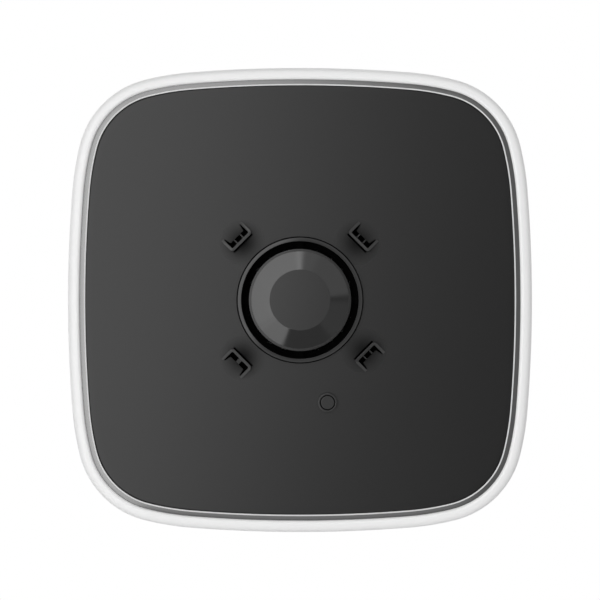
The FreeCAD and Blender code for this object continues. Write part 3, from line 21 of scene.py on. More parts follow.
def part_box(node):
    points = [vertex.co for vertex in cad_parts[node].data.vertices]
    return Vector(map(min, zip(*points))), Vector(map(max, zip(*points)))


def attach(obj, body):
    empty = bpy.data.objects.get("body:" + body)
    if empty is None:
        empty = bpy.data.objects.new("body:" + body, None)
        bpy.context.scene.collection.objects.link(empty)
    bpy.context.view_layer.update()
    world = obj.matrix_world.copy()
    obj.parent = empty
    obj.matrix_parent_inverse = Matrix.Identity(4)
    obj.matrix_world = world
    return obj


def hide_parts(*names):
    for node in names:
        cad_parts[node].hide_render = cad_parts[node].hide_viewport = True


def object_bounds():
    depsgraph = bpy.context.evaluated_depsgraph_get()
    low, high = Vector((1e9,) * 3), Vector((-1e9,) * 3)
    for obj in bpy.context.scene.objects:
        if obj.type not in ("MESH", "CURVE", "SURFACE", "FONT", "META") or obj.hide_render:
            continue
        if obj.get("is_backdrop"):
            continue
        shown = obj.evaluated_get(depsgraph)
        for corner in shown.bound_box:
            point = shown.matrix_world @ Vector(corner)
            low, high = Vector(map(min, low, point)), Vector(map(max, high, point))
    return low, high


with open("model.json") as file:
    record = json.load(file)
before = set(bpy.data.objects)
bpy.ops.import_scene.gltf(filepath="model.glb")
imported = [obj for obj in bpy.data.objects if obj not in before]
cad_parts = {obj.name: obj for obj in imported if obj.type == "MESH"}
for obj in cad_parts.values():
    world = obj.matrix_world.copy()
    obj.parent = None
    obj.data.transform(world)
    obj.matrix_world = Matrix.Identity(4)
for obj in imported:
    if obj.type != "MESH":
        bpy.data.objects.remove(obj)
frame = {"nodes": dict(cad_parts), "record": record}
cad_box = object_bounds()
print("CAD nodes:", len(frame["nodes"]))

# %% [markdown]
# ## Helpers for places and shapes
#
# The maker of the siren draws it from the front: across, up, and out of the wall, in
# millimetres. The lesson keeps that habit, and `spot` turns such a place into Blender's metres.

# %% From a maker's millimetres to Blender's metres
mm = 0.001


def spot(across, up, out):
    """A place in Blender's metres from millimetres across, up and out of the wall."""
    return Vector((across * mm, -out * mm, up * mm))


# %% [markdown]
# The siren's outline isn't a plain rounded square. Each side is a very flat arc, the corner is
# a tight one, and a shoulder arc joins them, so the edge never changes its curve abruptly.
# Sixteen arcs, each tangent to the next, close the outline. An inset copy keeps every centre and
# only shortens the radii, which is how rim, guide and panel stay parallel.

# %% The sixteen arcs of the outline
HALF_WIDTH, SIDE_RADIUS, SHOULDER_RADIUS = 99.96, 590.0, 120.0
SIDE_ANGLE, SHOULDER_END = math.radians(4.6), math.radians(14.1)
SIDE_STEPS, SHOULDER_STEPS, CORNER_STEPS = 32, 8, 24


def outline_arcs():
    """(centre, radius, start angle, stop angle, steps) of each arc, anticlockwise."""
    side_centre = HALF_WIDTH - SIDE_RADIUS
    reach = SIDE_RADIUS - SHOULDER_RADIUS
    x = side_centre + reach * math.cos(SIDE_ANGLE)
    y = reach * math.sin(SIDE_ANGLE)
    corner_reach = (y - x) / (math.cos(SHOULDER_END) - math.sin(SHOULDER_END))
    corner = x + corner_reach * math.cos(SHOULDER_END)
    corner_radius = SHOULDER_RADIUS - corner_reach
    right = math.pi / 2
    quarter = [
        ((side_centre, 0), SIDE_RADIUS, -SIDE_ANGLE, SIDE_ANGLE, SIDE_STEPS),
        ((x, y), SHOULDER_RADIUS, SIDE_ANGLE, SHOULDER_END, SHOULDER_STEPS),
        ((corner, corner), corner_radius, SHOULDER_END, right - SHOULDER_END, CORNER_STEPS),
        ((y, x), SHOULDER_RADIUS, right - SHOULDER_END, right - SIDE_ANGLE, SHOULDER_STEPS),
    ]
    arcs = []
    for turns in range(4):
        base = turns * right
        for centre, radius, start, stop, steps in quarter:
            turned_centre = Matrix.Rotation(base, 2) @ Vector(centre)
            arcs.append((turned_centre, radius, base + start, base + stop, steps))
    return arcs


def outline_points(inset):
    """Places (across, up) round the outline, drawn in by an inset."""
    points = []
    for centre, radius, start, stop, steps in outline_arcs():
        for step in range(steps):
            angle = start + (stop - start) * step / steps
            points.append(centre + (radius - inset) * Vector((math.cos(angle), math.sin(angle))))
    return points


print("points round the outline:", len(outline_points(0)))
print("reach to a corner in mm:", round(max(point.length for point in outline_points(0)), 2))

# %% [markdown]
# Moulded plastic has no truly sharp edge, and a highlight runs along every one. Rounding the
# corners of a profile before it is swept gives that highlight with few faces, and it is exact
# where a Bevel modifier would guess. A corner is written (place, height, radius).

# %% Round the corners of a profile
ARC_STEPS = 5


def softened(corners, steps=ARC_STEPS):
    """The points of a closed profile with each corner (a, b, radius) turned into an arc."""
    points = []
    for number, (a, b, radius) in enumerate(corners):
        here = Vector((a, b))
        if radius == 0:
            points.append(here)
            continue
        before = (Vector(corners[number - 1][:2]) - here).normalized()
        after = (Vector(corners[(number + 1) % len(corners)][:2]) - here).normalized()
        half = before.angle(after) / 2
        middle = here + (before + after).normalized() * radius / math.sin(half)
        start = here + before * radius / math.tan(half) - middle
        stop = here + after * radius / math.tan(half) - middle
        turn = start.angle_signed(stop)
        for step in range(steps + 1):
            points.append(middle + Matrix.Rotation(-turn * step / steps, 2) @ start)
    return points


print("a rounded square has", len(softened([(0, 0, 1), (4, 0, 1), (4, 4, 1), (0, 4, 1)])), "points")

# %% [markdown]
# Most of the siren's parts are a profile swept round a closed path: the outline, or a circle.
# Both are the same mesh, a grid of quads that closes on itself. `woven` makes it from rows of
# places with bmesh, which keeps the edge flow clean for smooth shading.

# %% Weave rows of places into a mesh
SHARP_ANGLE = math.radians(40)


def add_piece(name, work, body="siren"):
    """Turn a bmesh into a smooth-shaded object that moves with a CAD body."""
    bmesh.ops.recalc_face_normals(work, faces=work.faces)
    mesh = bpy.data.meshes.new(name)
    work.to_mesh(mesh)
    work.free()
    mesh.shade_smooth()
    mesh.set_sharp_from_angle(angle=SHARP_ANGLE)
    piece = bpy.data.objects.new(name, mesh)
    bpy.context.scene.collection.objects.link(piece)
    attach(piece, body)
    return piece


def woven(rows, closed=True):
    """A bmesh of quads between rows of places, each row closed on itself."""
    work = bmesh.new()
    loops = [[work.verts.new(place) for place in row] for row in rows]
    pairs = list(zip(loops, loops[1:] + loops[:1])) if closed else list(zip(loops, loops[1:]))
    for lower, upper in pairs:
        for number in range(len(lower)):
            after = (number + 1) % len(lower)
            work.faces.new((lower[number], lower[after], upper[after], upper[number]))
    return work


def swept(profile):
    """A closed profile of (inset, out) swept round the outline."""
    return woven([[spot(x, y, out) for x, y in outline_points(inset)] for inset, out in profile])


def even_normals(piece):
    """Let large flat faces rule the shading, so that small rounded edges don't bend it."""
    piece.modifiers.new("even_normals", "WEIGHTED_NORMAL").keep_sharp = True
    return piece


# %% [markdown]
# The round parts, such as the horn and the screws, are turned on a lathe in the same way. Their
# profile is (radius, out). A radius of zero would make a row of stacked points, so these are
# merged into one.

# %% Turn a profile on a lathe
TURN_STEPS, MERGE_DISTANCE = 96, 1e-7


def turned(profile, centre=(0, 0), steps=TURN_STEPS, closed=True):
    """A profile of (radius, out) turned about an axis that stands out of the wall."""
    rows = []
    for radius, out in profile:
        angles = [2 * math.pi * step / steps for step in range(steps)]
        rows.append([spot(centre[0] + radius * math.cos(angle), centre[1] + radius * math.sin(angle), out)
                     for angle in angles])
    work = woven(rows, closed)
    bmesh.ops.remove_doubles(work, verts=work.verts, dist=MERGE_DISTANCE)
    bmesh.ops.dissolve_degenerate(work, edges=work.edges, dist=MERGE_DISTANCE)
    return work


# %% [markdown]
# ## Shared effects
#
# Two things show on nearly every moulded part: the fine grain of the mould, and a slow, slight
# drift of the pigment and the gloss. One node group with named inputs makes both, so that every
# material can use it with its own values.

# %% A group for mould grain and pigment drift
GRAIN_SCALE, GRAIN_DETAIL = 1500.0, 3.0
PIGMENT_SCALE, PIGMENT_DETAIL = 9.0, 2.0


def new_group(name, inputs, outputs):
    """A shader node group with float, colour or vector sockets."""
    group = bpy.data.node_groups.new(name, "ShaderNodeTree")
    for socket, kind, value in inputs:
        made = group.interface.new_socket(socket, in_out="INPUT", socket_type=f"NodeSocket{kind}")
        if value is not None:
            made.default_value = value
    for socket, kind in outputs:
        group.interface.new_socket(socket, in_out="OUTPUT", socket_type=f"NodeSocket{kind}")
    return group, group.nodes.new("NodeGroupInput"), group.nodes.new("NodeGroupOutput")


def mould_grain():
    """Colour, roughness and height of plastic from a spark-eroded mould."""
    group, given, result = new_group(
        "mould_grain",
        [("Color", "Color", None), ("Roughness", "Float", 0.4), ("Scale", "Float", GRAIN_SCALE),
         ("Drift", "Float", 0.04), ("Patchiness", "Float", 0.05)],
        [("Color", "Color"), ("Roughness", "Float"), ("Height", "Float")])
    nodes, links = group.nodes, group.links
    place = nodes.new("ShaderNodeTexCoord")
    grain = nodes.new("ShaderNodeTexNoise")
    grain.inputs["Detail"].default_value = GRAIN_DETAIL
    drift = nodes.new("ShaderNodeTexNoise")
    drift.inputs["Scale"].default_value = PIGMENT_SCALE
    drift.inputs["Detail"].default_value = PIGMENT_DETAIL
    links.new(place.outputs["Object"], grain.inputs["Vector"])
    links.new(place.outputs["Object"], drift.inputs["Vector"])
    links.new(given.outputs["Scale"], grain.inputs["Scale"])
    centred = nodes.new("ShaderNodeMath")
    centred.operation = "SUBTRACT"
    centred.inputs[1].default_value = 0.5
    links.new(drift.outputs["Fac"], centred.inputs[0])
    shade = nodes.new("ShaderNodeMath")
    shade.operation = "MULTIPLY_ADD"
    shade.inputs[2].default_value = 1.0
    links.new(centred.outputs[0], shade.inputs[0])
    links.new(given.outputs["Drift"], shade.inputs[1])
    tint = nodes.new("ShaderNodeVectorMath")
    tint.operation = "SCALE"
    links.new(given.outputs["Color"], tint.inputs[0])
    links.new(shade.outputs[0], tint.inputs["Scale"])
    links.new(tint.outputs[0], result.inputs["Color"])
    rough = nodes.new("ShaderNodeMath")
    rough.operation = "MULTIPLY_ADD"
    links.new(centred.outputs[0], rough.inputs[0])
    links.new(given.outputs["Patchiness"], rough.inputs[1])
    links.new(given.outputs["Roughness"], rough.inputs[2])
    links.new(rough.outputs[0], result.inputs["Roughness"])
    links.new(grain.outputs["Fac"], result.inputs["Height"])
    return group


GRAIN = mould_grain()
print("group:", GRAIN.name, "with", len(GRAIN.nodes), "nodes")

# %% [markdown]
# `moulded` is the recipe for every plastic, rubber and painted part: one Principled BSDF fed by
# the grain group, with a Bump node for the surface. The numbers that are the same all over the
# part, such as the coat or the specular level, are set straight on the shader.

# %% Materials from the grain group
GRAIN_DEPTH = 0.02


def moulded(name, colour, roughness, scale=GRAIN_SCALE, bump=0.05, drift=0.04, patchiness=0.05, **settings):
    """A material of moulded plastic or rubber; settings name other sockets of its shader."""
    material = bpy.data.materials.new(name)
    material.use_nodes = True
    nodes, links = material.node_tree.nodes, material.node_tree.links
    shader = nodes["Principled BSDF"]
    grain = nodes.new("ShaderNodeGroup")
    grain.node_tree = GRAIN
    grain.inputs["Color"].default_value = (*colour, 1.0)
    for socket, value in (("Roughness", roughness), ("Scale", scale), ("Drift", drift),
                          ("Patchiness", patchiness)):
        grain.inputs[socket].default_value = value
    dent = nodes.new("ShaderNodeBump")
    dent.inputs["Strength"].default_value = bump
    dent.inputs["Distance"].default_value = GRAIN_DEPTH * mm
    links.new(grain.outputs["Color"], shader.inputs["Base Color"])
    links.new(grain.outputs["Roughness"], shader.inputs["Roughness"])
    links.new(grain.outputs["Height"], dent.inputs["Height"])
    links.new(dent.outputs["Normal"], shader.inputs["Normal"])
    for socket, value in settings.items():
        shader.inputs[socket.replace("_", " ")].default_value = value
    return material


def grey(tone):
    """A neutral colour that renders at a tone from 0 to 255."""
    share = tone / 255
    value = share / 12.92 if share <= 0.04045 else ((share + 0.055) / 1.055) ** 2.4
    return (value, value, value)


FACE_COLOUR, FACE_ROUGHNESS = grey(30), 0.26
FACE_GRAIN = {"scale": 2600.0, "bump": 0.10, "drift": 0.10}

WHITE_HOUSING = moulded("white_housing", grey(241), 0.36, bump=0.08, drift=0.02)
GRAPHITE_FACE = moulded("graphite_face", FACE_COLOUR, FACE_ROUGHNESS, **FACE_GRAIN)
GRAPHITE_GLOSS = moulded("graphite_gloss", grey(40), 0.12, bump=0.02, drift=0.06)
# Painted light: the catches' walls are a lighter copy of the face's dark plastic, for the light that their
# rounded tops catch.
GRAPHITE_WALL_PAINTED_LIGHT = moulded("graphite_wall_painted_light", grey(44), 0.30, bump=0.06, drift=0.06)
# Painted shade: a near black with almost no gloss, put on faces that lie deep in shade.
PAINTED_SHADE_BLACK = moulded("painted_shade_black", grey(6), 0.85, bump=0.05, Specular_IOR_Level=0.1)
SMOKY_GUIDE = moulded("smoky_guide", grey(84), 0.16, bump=0.02, drift=0.05, IOR=1.8, Specular_IOR_Level=1.0)
# Painted light: a pale colour for the guide's lip, in place of the light that leaves the guide there.
GUIDE_LIP_PAINTED_LIGHT = moulded("guide_lip_painted_light", grey(212), 0.30, bump=0.02, drift=0.02)
print("first materials:", [material.name for material in bpy.data.materials])


def finish(piece, material):
    """Give a piece its material."""
    piece.data.materials.clear()
    piece.data.materials.append(material)
    return piece


# %% [markdown]
# ## The pale rim
#
# The front half of the housing is a ring with a full round on its outer edge and a soft roll
# into the groove. It is one profile swept round the outline, with the shelf inside that the
# light guide and the panel stand on. A hair of air under their feet keeps the meshes apart.

# %% Sweep the front housing
SHELF, FOOT = 39, 39.05
RIM_PROFILE = [
    (0, 24.05, 0.25), (0, 45, 3.75), (5.1, 45, 1.3), (5.1, SHELF, 0),
    (17, SHELF, 0.3), (17, 36.5, 0.3), (2.5, 36.5, 0.6), (2.5, 24.05, 0.25)]
rim = add_piece("front_rim", swept(softened(RIM_PROFILE)))
finish(rim, WHITE_HOUSING)
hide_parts("front_housing")
print("faces of the rim:", len(rim.data.polygons))

# %% [markdown]
# ## The light guide
#
# A clear ring stands between rim and panel. Its bevel slopes down to the rim, and a narrow flat lip along
# the panel looks bright, because light leaves the guide there. That brightness is painted light: the lip's
# faces get a pale colour of their own.

# %% Sweep the light guide
GUIDE_TOP, BRIGHT_ABOVE = 43.8, 43.75
GUIDE_PROFILE = [
    (5.13, FOOT, 0.1), (5.13, 43.6, 0.05), (7.02, GUIDE_TOP, 0.1), (7.6, GUIDE_TOP, 0.08),
    (7.6, FOOT, 0.1)]
guide = add_piece("light_ring", swept(softened(GUIDE_PROFILE)))
finish(guide, SMOKY_GUIDE)
# Painted light: the lip's faces take the pale colour.
guide.data.materials.append(GUIDE_LIP_PAINTED_LIGHT)
for face in guide.data.polygons:
    if face.center.y < -BRIGHT_ABOVE * mm:
        face.material_index = 1
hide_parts("light_guide")
print("lip faces:", sum(face.material_index for face in guide.data.polygons))

# %% [markdown]
# ## The crowned face
#
# The panel is part of a sphere almost three metres in radius: its middle stands about two
# millimetres in front of its corners. That slight crown is what spreads a soft highlight over
# it. Its rows run from the horn's hole out to the edge, over a small round, down the skirt and
# back along the inside, so the panel is one closed shell.

# %% Sweep the panel from the horn's hole to its edge
CROWN, CROWN_RADIUS = 45.3, 2800.0
HORN_HOLE, PANEL_INSET, PANEL_WALL, PANEL_ROUND = 27.3, 7.7, 2.2, 0.5
FACE_RINGS, ROUND_STEPS = 28, 4


def crown_at(across, up):
    """How far out of the wall the crowned surface stands at a place."""
    return CROWN - CROWN_RADIUS + math.sqrt(CROWN_RADIUS ** 2 - across ** 2 - up ** 2)


def crowned_row(inset, share, drop):
    """A row between the horn's hole (share 0) and the outline's inset (share 1), below the crown."""
    row = []
    for edge in outline_points(inset):
        inner = edge.normalized() * HORN_HOLE
        x, y = inner.lerp(edge, share)
        row.append(spot(x, y, crown_at(x, y) - drop))
    return row


def panel_rows():
    """Rows from the horn's hole over the face, round the edge, down the skirt and back inside."""
    inside = PANEL_INSET + PANEL_WALL
    shares = [ring / FACE_RINGS for ring in range(FACE_RINGS + 1)]
    rows = [crowned_row(PANEL_INSET + PANEL_ROUND, share, 0) for share in shares]
    for step in range(1, ROUND_STEPS + 1):
        angle = math.pi / 2 * step / ROUND_STEPS
        rows.append(crowned_row(PANEL_INSET + PANEL_ROUND * (1 - math.sin(angle)), 1,
                                PANEL_ROUND * (1 - math.cos(angle))))
    for inset in (PANEL_INSET, inside):
        rows.append([spot(x, y, FOOT) for x, y in outline_points(inset)])
    rows += [crowned_row(inside, share, PANEL_WALL) for share in reversed(shares)]
    return rows


panel = add_piece("face_panel", woven(panel_rows()))
finish(panel, GRAPHITE_FACE)
print("faces of the panel:", len(panel.data.polygons))

# %% [markdown]
# ## Cutting openings
#
# The panel is pierced at each catch and at the vent. A Boolean modifier with a simple cutter is
# the quickest clean way. The cutters are only tools, so each is applied and thrown away. They
# stand out of the piece by a spare millimetre or more, so that they cut clean through it.

# %% Cut one piece with another
SPARE = 1


def block(first, last):
    """A closed bmesh between two outlines with the same number of places."""
    work = woven([first, last], closed=False)
    corners = work.verts[:]
    work.faces.new(corners[:len(first)])
    work.faces.new(corners[len(first):])
    return work


def prism(points, low, high):
    """An outline of (across, up) points between two distances from the wall."""
    return block([spot(x, y, low) for x, y in points], [spot(x, y, high) for x, y in points])


def placed(work, places):
    """Copies of a bmesh at each placement, in one bmesh."""
    mesh = bpy.data.meshes.new("placed")
    work.to_mesh(mesh)
    work.free()
    whole = bmesh.new()
    for place in places:
        copy = mesh.copy()
        copy.transform(place)
        whole.from_mesh(copy)
        bpy.data.meshes.remove(copy)
    bpy.data.meshes.remove(mesh)
    return whole


def cut(piece, work):
    """Take a bmesh away from a piece for good."""
    bmesh.ops.recalc_face_normals(work, faces=work.faces)
    mesh = bpy.data.meshes.new("cutter")
    work.to_mesh(mesh)
    work.free()
    cutter = bpy.data.objects.new("cutter", mesh)
    bpy.context.scene.collection.objects.link(cutter)
    modifier = piece.modifiers.new("cut", "BOOLEAN")
    modifier.operation = "DIFFERENCE"
    modifier.solver = "EXACT"
    modifier.object = cutter
    before = len(piece.data.polygons)
    apply_modifiers(piece)
    bpy.data.objects.remove(cutter)
    bpy.data.meshes.remove(mesh)
    return len(piece.data.polygons) - before


def apply_modifiers(piece):
    """Make what the modifiers show the piece's own mesh."""
    graph = bpy.context.evaluated_depsgraph_get()
    mesh = bpy.data.meshes.new_from_object(piece.evaluated_get(graph))
    old = piece.data
    piece.modifiers.clear()
    piece.data = mesh
    bpy.data.meshes.remove(old)
    mesh.set_sharp_from_angle(angle=SHARP_ANGLE)


# %% [markdown]
# ## The four catches
#
# Each catch is a low wall bent into a U that opens away from the horn. A cover's hooks drop
# through the holes behind it and lock under the panel. The four are counted anticlockwise from
# the upper right. The lower right one sits four millimetres off its place, so the cover only fits
# one way, and the lower left one has a single wide rib. The recess over the ribs is a hair wider
# than the holes, since a Boolean may fail where two cutters share a plane.

# %% Places and openings of the catches
CATCH_RADIUS, KEY_OFFSET = 35.5, 4.0
CATCH_WIDTH, CATCH_WALL, CATCH_REACH, CATCH_HEIGHT = 12.15, 1.15, 6.8, 3.5
CATCH_CORNER, POCKET, RIB, WIDE_RIB = 1.7, 2.2, 0.6, 1.7
SLOT, SLOT_TIP, BACK_SLOT, RIB_RECESS, RECESS_SPARE = 1.1, 0.5, 0.8, 1.3, 0.03
CUT_FROM, CUT_TO = 40, 47
LOWER_LEFT, LOWER_RIGHT = 2, 3


def catch_places():
    """Placements that carry a catch drawn upright at the middle to its own place."""
    places = []
    for quarter in range(4):
        angle = math.radians(45 + 90 * quarter)
        shift = KEY_OFFSET if quarter == LOWER_RIGHT else 0
        x = CATCH_RADIUS * math.cos(angle) - shift * math.sin(angle)
        y = CATCH_RADIUS * math.sin(angle) + shift * math.cos(angle)
        turn = Matrix.Rotation(math.pi / 2 - angle, 4, "Y")
        places.append(Matrix.Translation(spot(x, y, 0)) @ turn)
    return places


def catch_cutters(holes, gap):
    """The holes between the ribs, the slots along the arms and the slot behind the wall."""
    inner = CATCH_WIDTH / 2 - CATCH_WALL
    back = CATCH_WALL / 2
    front = back + POCKET
    far = CATCH_REACH - CATCH_WALL / 2 - SLOT_TIP
    hole = (2 * inner - (holes - 1) * gap) / holes
    shapes = []
    for number in range(1, holes - 1):
        left = number * (hole + gap) - inner
        shapes.append([(left, back), (left + hole, back), (left + hole, front), (left, front)])
    for sign in (-1, 1):
        edge, rib = sign * inner, sign * (inner - hole)
        slot, tip = sign * (inner - SLOT), sign * (inner - SLOT_TIP)
        shapes.append([(edge, back), (edge, far), (tip, far), (slot, front), (rib, front), (rib, back)])
    half = CATCH_WIDTH / 2 - SLOT_TIP
    shapes.append([(-half, -back - BACK_SLOT), (half, -back - BACK_SLOT), (half, -back), (-half, -back)])
    return shapes


def rib_recess():
    """A shallow pocket over the ribs, which stand a little below the panel's face."""
    side = CATCH_WIDTH / 2 - CATCH_WALL + RECESS_SPARE
    low, high = CATCH_WALL / 2 - RECESS_SPARE, CATCH_WALL / 2 + POCKET + RECESS_SPARE
    return [(-side, low), (side, low), (side, high), (-side, high)]


for number, place in enumerate(catch_places()):
    holes, gap = (2, WIDE_RIB) if number == LOWER_LEFT else (3, RIB)
    cut(panel, placed(prism(rib_recess(), CROWN - RIB_RECESS, CUT_TO), [place]))
    made = sum(cut(panel, placed(prism(shape, CUT_FROM, CUT_TO), [place]))
               for shape in catch_cutters(holes, gap))
    print("new faces at catch", number, "are", made)

# %% [markdown]
# The wall itself is an upright U whose top falls away along the arms. It is easiest to raise the
# whole U to full height and then cut off what stands over the slope with one wedge. A small
# bevel on all edges finishes it like the moulded original.

# %% Build one catch and copy it to the four places
PANEL_BACK = 43.2
TIP_ROUND, FLOOR_ROUND, CATCH_ARC_STEPS = 0.15, 0.5, 6
CATCH_EASE, CATCH_EASE_STEPS = 0.16, 3


def catch_outline():
    """The U seen from the front, with its back corners rounded outside."""
    half, back = CATCH_WIDTH / 2, -CATCH_WALL / 2
    tip = back + CATCH_REACH
    inner, floor = half - CATCH_WALL, back + CATCH_WALL
    corners = [(half, back, CATCH_CORNER), (half, tip, TIP_ROUND), (inner, tip, TIP_ROUND),
               (inner, floor, FLOOR_ROUND), (-inner, floor, FLOOR_ROUND), (-inner, tip, TIP_ROUND),
               (-half, tip, TIP_ROUND), (-half, back, CATCH_CORNER)]
    return softened(corners, steps=CATCH_ARC_STEPS)


def above_slope():
    """A wedge that takes away what stands over the falling tops of the arms."""
    top, wide = CROWN + CATCH_HEIGHT, CATCH_WIDTH
    start, end = CATCH_WALL / 2, CATCH_REACH - CATCH_WALL / 2
    side = [(start, top), (end, CROWN), (end + SPARE, CROWN), (end + SPARE, top + SPARE),
            (start, top + SPARE)]
    return block([spot(-wide, up, out) for up, out in side], [spot(wide, up, out) for up, out in side])


for number, place in enumerate(catch_places(), 1):
    upright = prism(catch_outline(), PANEL_BACK, CROWN + CATCH_HEIGHT)
    catch = add_piece(f"catch_{number}", placed(upright, [place]))
    cut(catch, placed(above_slope(), [place]))
    ease = catch.modifiers.new("soft_edges", "BEVEL")
    ease.width, ease.segments, ease.angle_limit = CATCH_EASE * mm, CATCH_EASE_STEPS, SHARP_ANGLE
    # Painted light: the catches take the lighter copy of the face's plastic.
    even_normals(finish(catch, GRAPHITE_WALL_PAINTED_LIGHT))
print("faces of a catch:", len(catch.data.polygons))

# %% [markdown]
# Behind the holes lies a small closed well, which keeps light out of the housing. Its near black is painted
# shade, put where the holes show only shade. It is a block with a smaller block cut out of it. The smaller
# one is lifted a hair, so that it cuts through the open side.

# %% A well of painted shade behind each catch
WELL_MARGIN, WELL_WALL, WELL_BACK, WELL_LIFT = 1.2, 0.8, 38.2, 0.01


def well_block(margin, back):
    """A block behind a catch, reaching past its openings by a margin."""
    half = CATCH_WIDTH / 2 + margin
    low, high = -CATCH_WALL / 2 - BACK_SLOT - margin, CATCH_REACH - CATCH_WALL / 2 + margin
    return prism([(-half, low), (half, low), (half, high), (-half, high)], back, PANEL_BACK)


for number, place in enumerate(catch_places(), 1):
    well = add_piece(f"catch_shade_well_{number}", placed(well_block(WELL_MARGIN, WELL_BACK), [place]))
    inside = placed(well_block(WELL_MARGIN - WELL_WALL, WELL_BACK + WELL_WALL), [place])
    bmesh.ops.translate(inside, verts=inside.verts, vec=spot(0, 0, WELL_LIFT))
    cut(well, inside)
    # Painted shade: the well is near black.
    finish(well, PAINTED_SHADE_BLACK)
print("faces of a well:", len(well.data.polygons))

# %% [markdown]
# The face is dark plastic under a satin lacquer, and its gloss comes from that lacquer. A soft, darker halo
# round each catch is painted shade: a mask by distance lowers the weight of the coat there, whatever the
# light.

# %% Painted shade: less coat round the catches
def lacquered_with_painted_shade(name, colour, roughness, centres, shade_near, shade_far, **settings):
    """Moulded plastic under a coat, with painted shade: the coat's weight falls round some places, between
    two distances from them.
    """
    material = moulded(name, colour, roughness, Specular_IOR_Level=0.0, Coat_Roughness=roughness,
                       **settings)
    nodes, links = material.node_tree.nodes, material.node_tree.links
    surface = nodes.new("ShaderNodeTexCoord")
    weight = nodes.new("ShaderNodeMapRange")
    weight.interpolation_type = "SMOOTHSTEP"
    weight.inputs["From Min"].default_value = shade_near * mm
    weight.inputs["From Max"].default_value = shade_far * mm
    weight.inputs["Value"].default_value = shade_far * mm
    links.new(weight.outputs["Result"], nodes["Principled BSDF"].inputs["Coat Weight"])
    entry = weight.inputs["Value"]
    for centre in centres:
        away = nodes.new("ShaderNodeVectorMath")
        away.operation = "DISTANCE"
        away.inputs[1].default_value = centre
        links.new(surface.outputs["Object"], away.inputs[0])
        nearer = nodes.new("ShaderNodeMath")
        nearer.operation = "MINIMUM"
        nearer.inputs[1].default_value = shade_far * mm
        links.new(away.outputs["Value"], nearer.inputs[0])
        links.new(nearer.outputs[0], entry)
        entry = nearer.inputs[1]
    return material


# Painted shade: where the dark halo round each catch starts and ends, and how far its middle is moved from
# the catch's middle, in millimetres.
HALO_START, HALO_END, HALO_SHIFT = 0.0, 11.0, 0.6
catch_centres = [place @ spot(0, -HALO_SHIFT, CROWN) for place in catch_places()]
LACQUERED_FACE_WITH_PAINTED_SHADE = lacquered_with_painted_shade("lacquered_face_painted_shade", FACE_COLOUR, FACE_ROUGHNESS, catch_centres,
                           HALO_START, HALO_END, **FACE_GRAIN)
panel.data.materials[0] = LACQUERED_FACE_WITH_PAINTED_SHADE
print("nodes of the lacquer:", len(LACQUERED_FACE_WITH_PAINTED_SHADE.node_tree.nodes))

# %% [markdown]
# ## The breather vent
#
# A plug closes a small stepped hole below the horn. It lets air through a membrane while the
# collar round it keeps water out. Three low rings on one axis make it: collar, gap and plug.
# Hardly any light gets between them, so everything below the collar's rounded top is painted shade: the
# collar's lower faces and a ring-shaped floor under the gap are near black.

# %% Turn the vent's collar and plug
VENT = (11.9, -44.1)
VENT_HEAD, VENT_HOLE, COLLAR_BORE, COLLAR_EDGE = 2.9, 3.2, 3.3, 4.3
VENT_SEAT, VENT_TOP, VENT_CUT_FROM = 43.25, 45.5, 42
COLLAR_RISE, COLLAR_BLACK, COLLAR_ROUND = 0.9, 0.4, 0.4
PLUG_FLAT, VENT_ROUND = 2.5, 0.12
FLOOR_BORE, FLOOR_EDGE, FLOOR_BACK, FLOOR_TOP = 2.25, 3.25, 42.2, 43.2
vent_crown = crown_at(*VENT)
collar_top = vent_crown + COLLAR_RISE


def paint_shade_under(piece, level):
    """Painted shade: the near-black material for every face of a piece that lies nearer to the wall than a
    level.
    """
    piece.data.materials.append(PAINTED_SHADE_BLACK)
    for face in piece.data.polygons:
        if face.center.y > -level * mm:
            face.material_index = 1


cut(panel, turned([(0, VENT_CUT_FROM), (VENT_HOLE, VENT_CUT_FROM), (VENT_HOLE, CUT_TO), (0, CUT_TO)],
                  VENT, closed=False))
collar = add_piece("vent_collar", turned(softened([
    (COLLAR_BORE, VENT_SEAT, 0), (COLLAR_EDGE, VENT_SEAT, 0), (COLLAR_EDGE, collar_top, COLLAR_ROUND),
    (COLLAR_BORE, collar_top, VENT_ROUND)]), VENT))
even_normals(finish(collar, GRAPHITE_FACE))
# Painted shade: the collar's faces below a level near the face are near black.
paint_shade_under(collar, vent_crown + COLLAR_BLACK)
# Painted shade: a near-black ring-shaped floor under the gap.
floor = add_piece("vent_shade_floor", turned([
    (FLOOR_BORE, FLOOR_BACK), (FLOOR_EDGE, FLOOR_BACK), (FLOOR_EDGE, FLOOR_TOP), (FLOOR_BORE, FLOOR_TOP)],
    VENT, steps=TURN_STEPS // 2))
finish(floor, PAINTED_SHADE_BLACK)
plug = add_piece("vent_cap", turned(softened([
    (0, VENT_SEAT, 0), (0, VENT_TOP, 0), (PLUG_FLAT, VENT_TOP, 0),
    (VENT_HEAD, VENT_TOP, VENT_ROUND), (VENT_HEAD, VENT_SEAT, 0)]), VENT, closed=False))
even_normals(finish(plug, GRAPHITE_FACE))
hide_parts("vent_plug")
print("top of the collar in mm:", round(collar_top, 2))

# %% [markdown]
# All cuts in the panel are made now, so its faces can be shared out. The front keeps the lacquer, and the
# ribs in their recess are bare plastic. The walls of the openings and the inside are painted shade: near
# black, where the face's plastic lies in shade.

# %% Share out the finishes of the panel
FRONT, PAINTED_SHADE_SIDE, BARE_RIB = 0, 1, 2
LOOKS_FORWARD = -0.2


def part_of_panel(face):
    """Which of the panel's three finishes a face takes."""
    x, y, z = face.center / mm
    # Painted shade: every face that doesn't look forward is near black.
    if face.normal.y > LOOKS_FORWARD:
        return PAINTED_SHADE_SIDE
    return BARE_RIB if crown_at(x, z) + y > RIB_RECESS / 2 else FRONT


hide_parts("front_panel")
even_normals(panel)
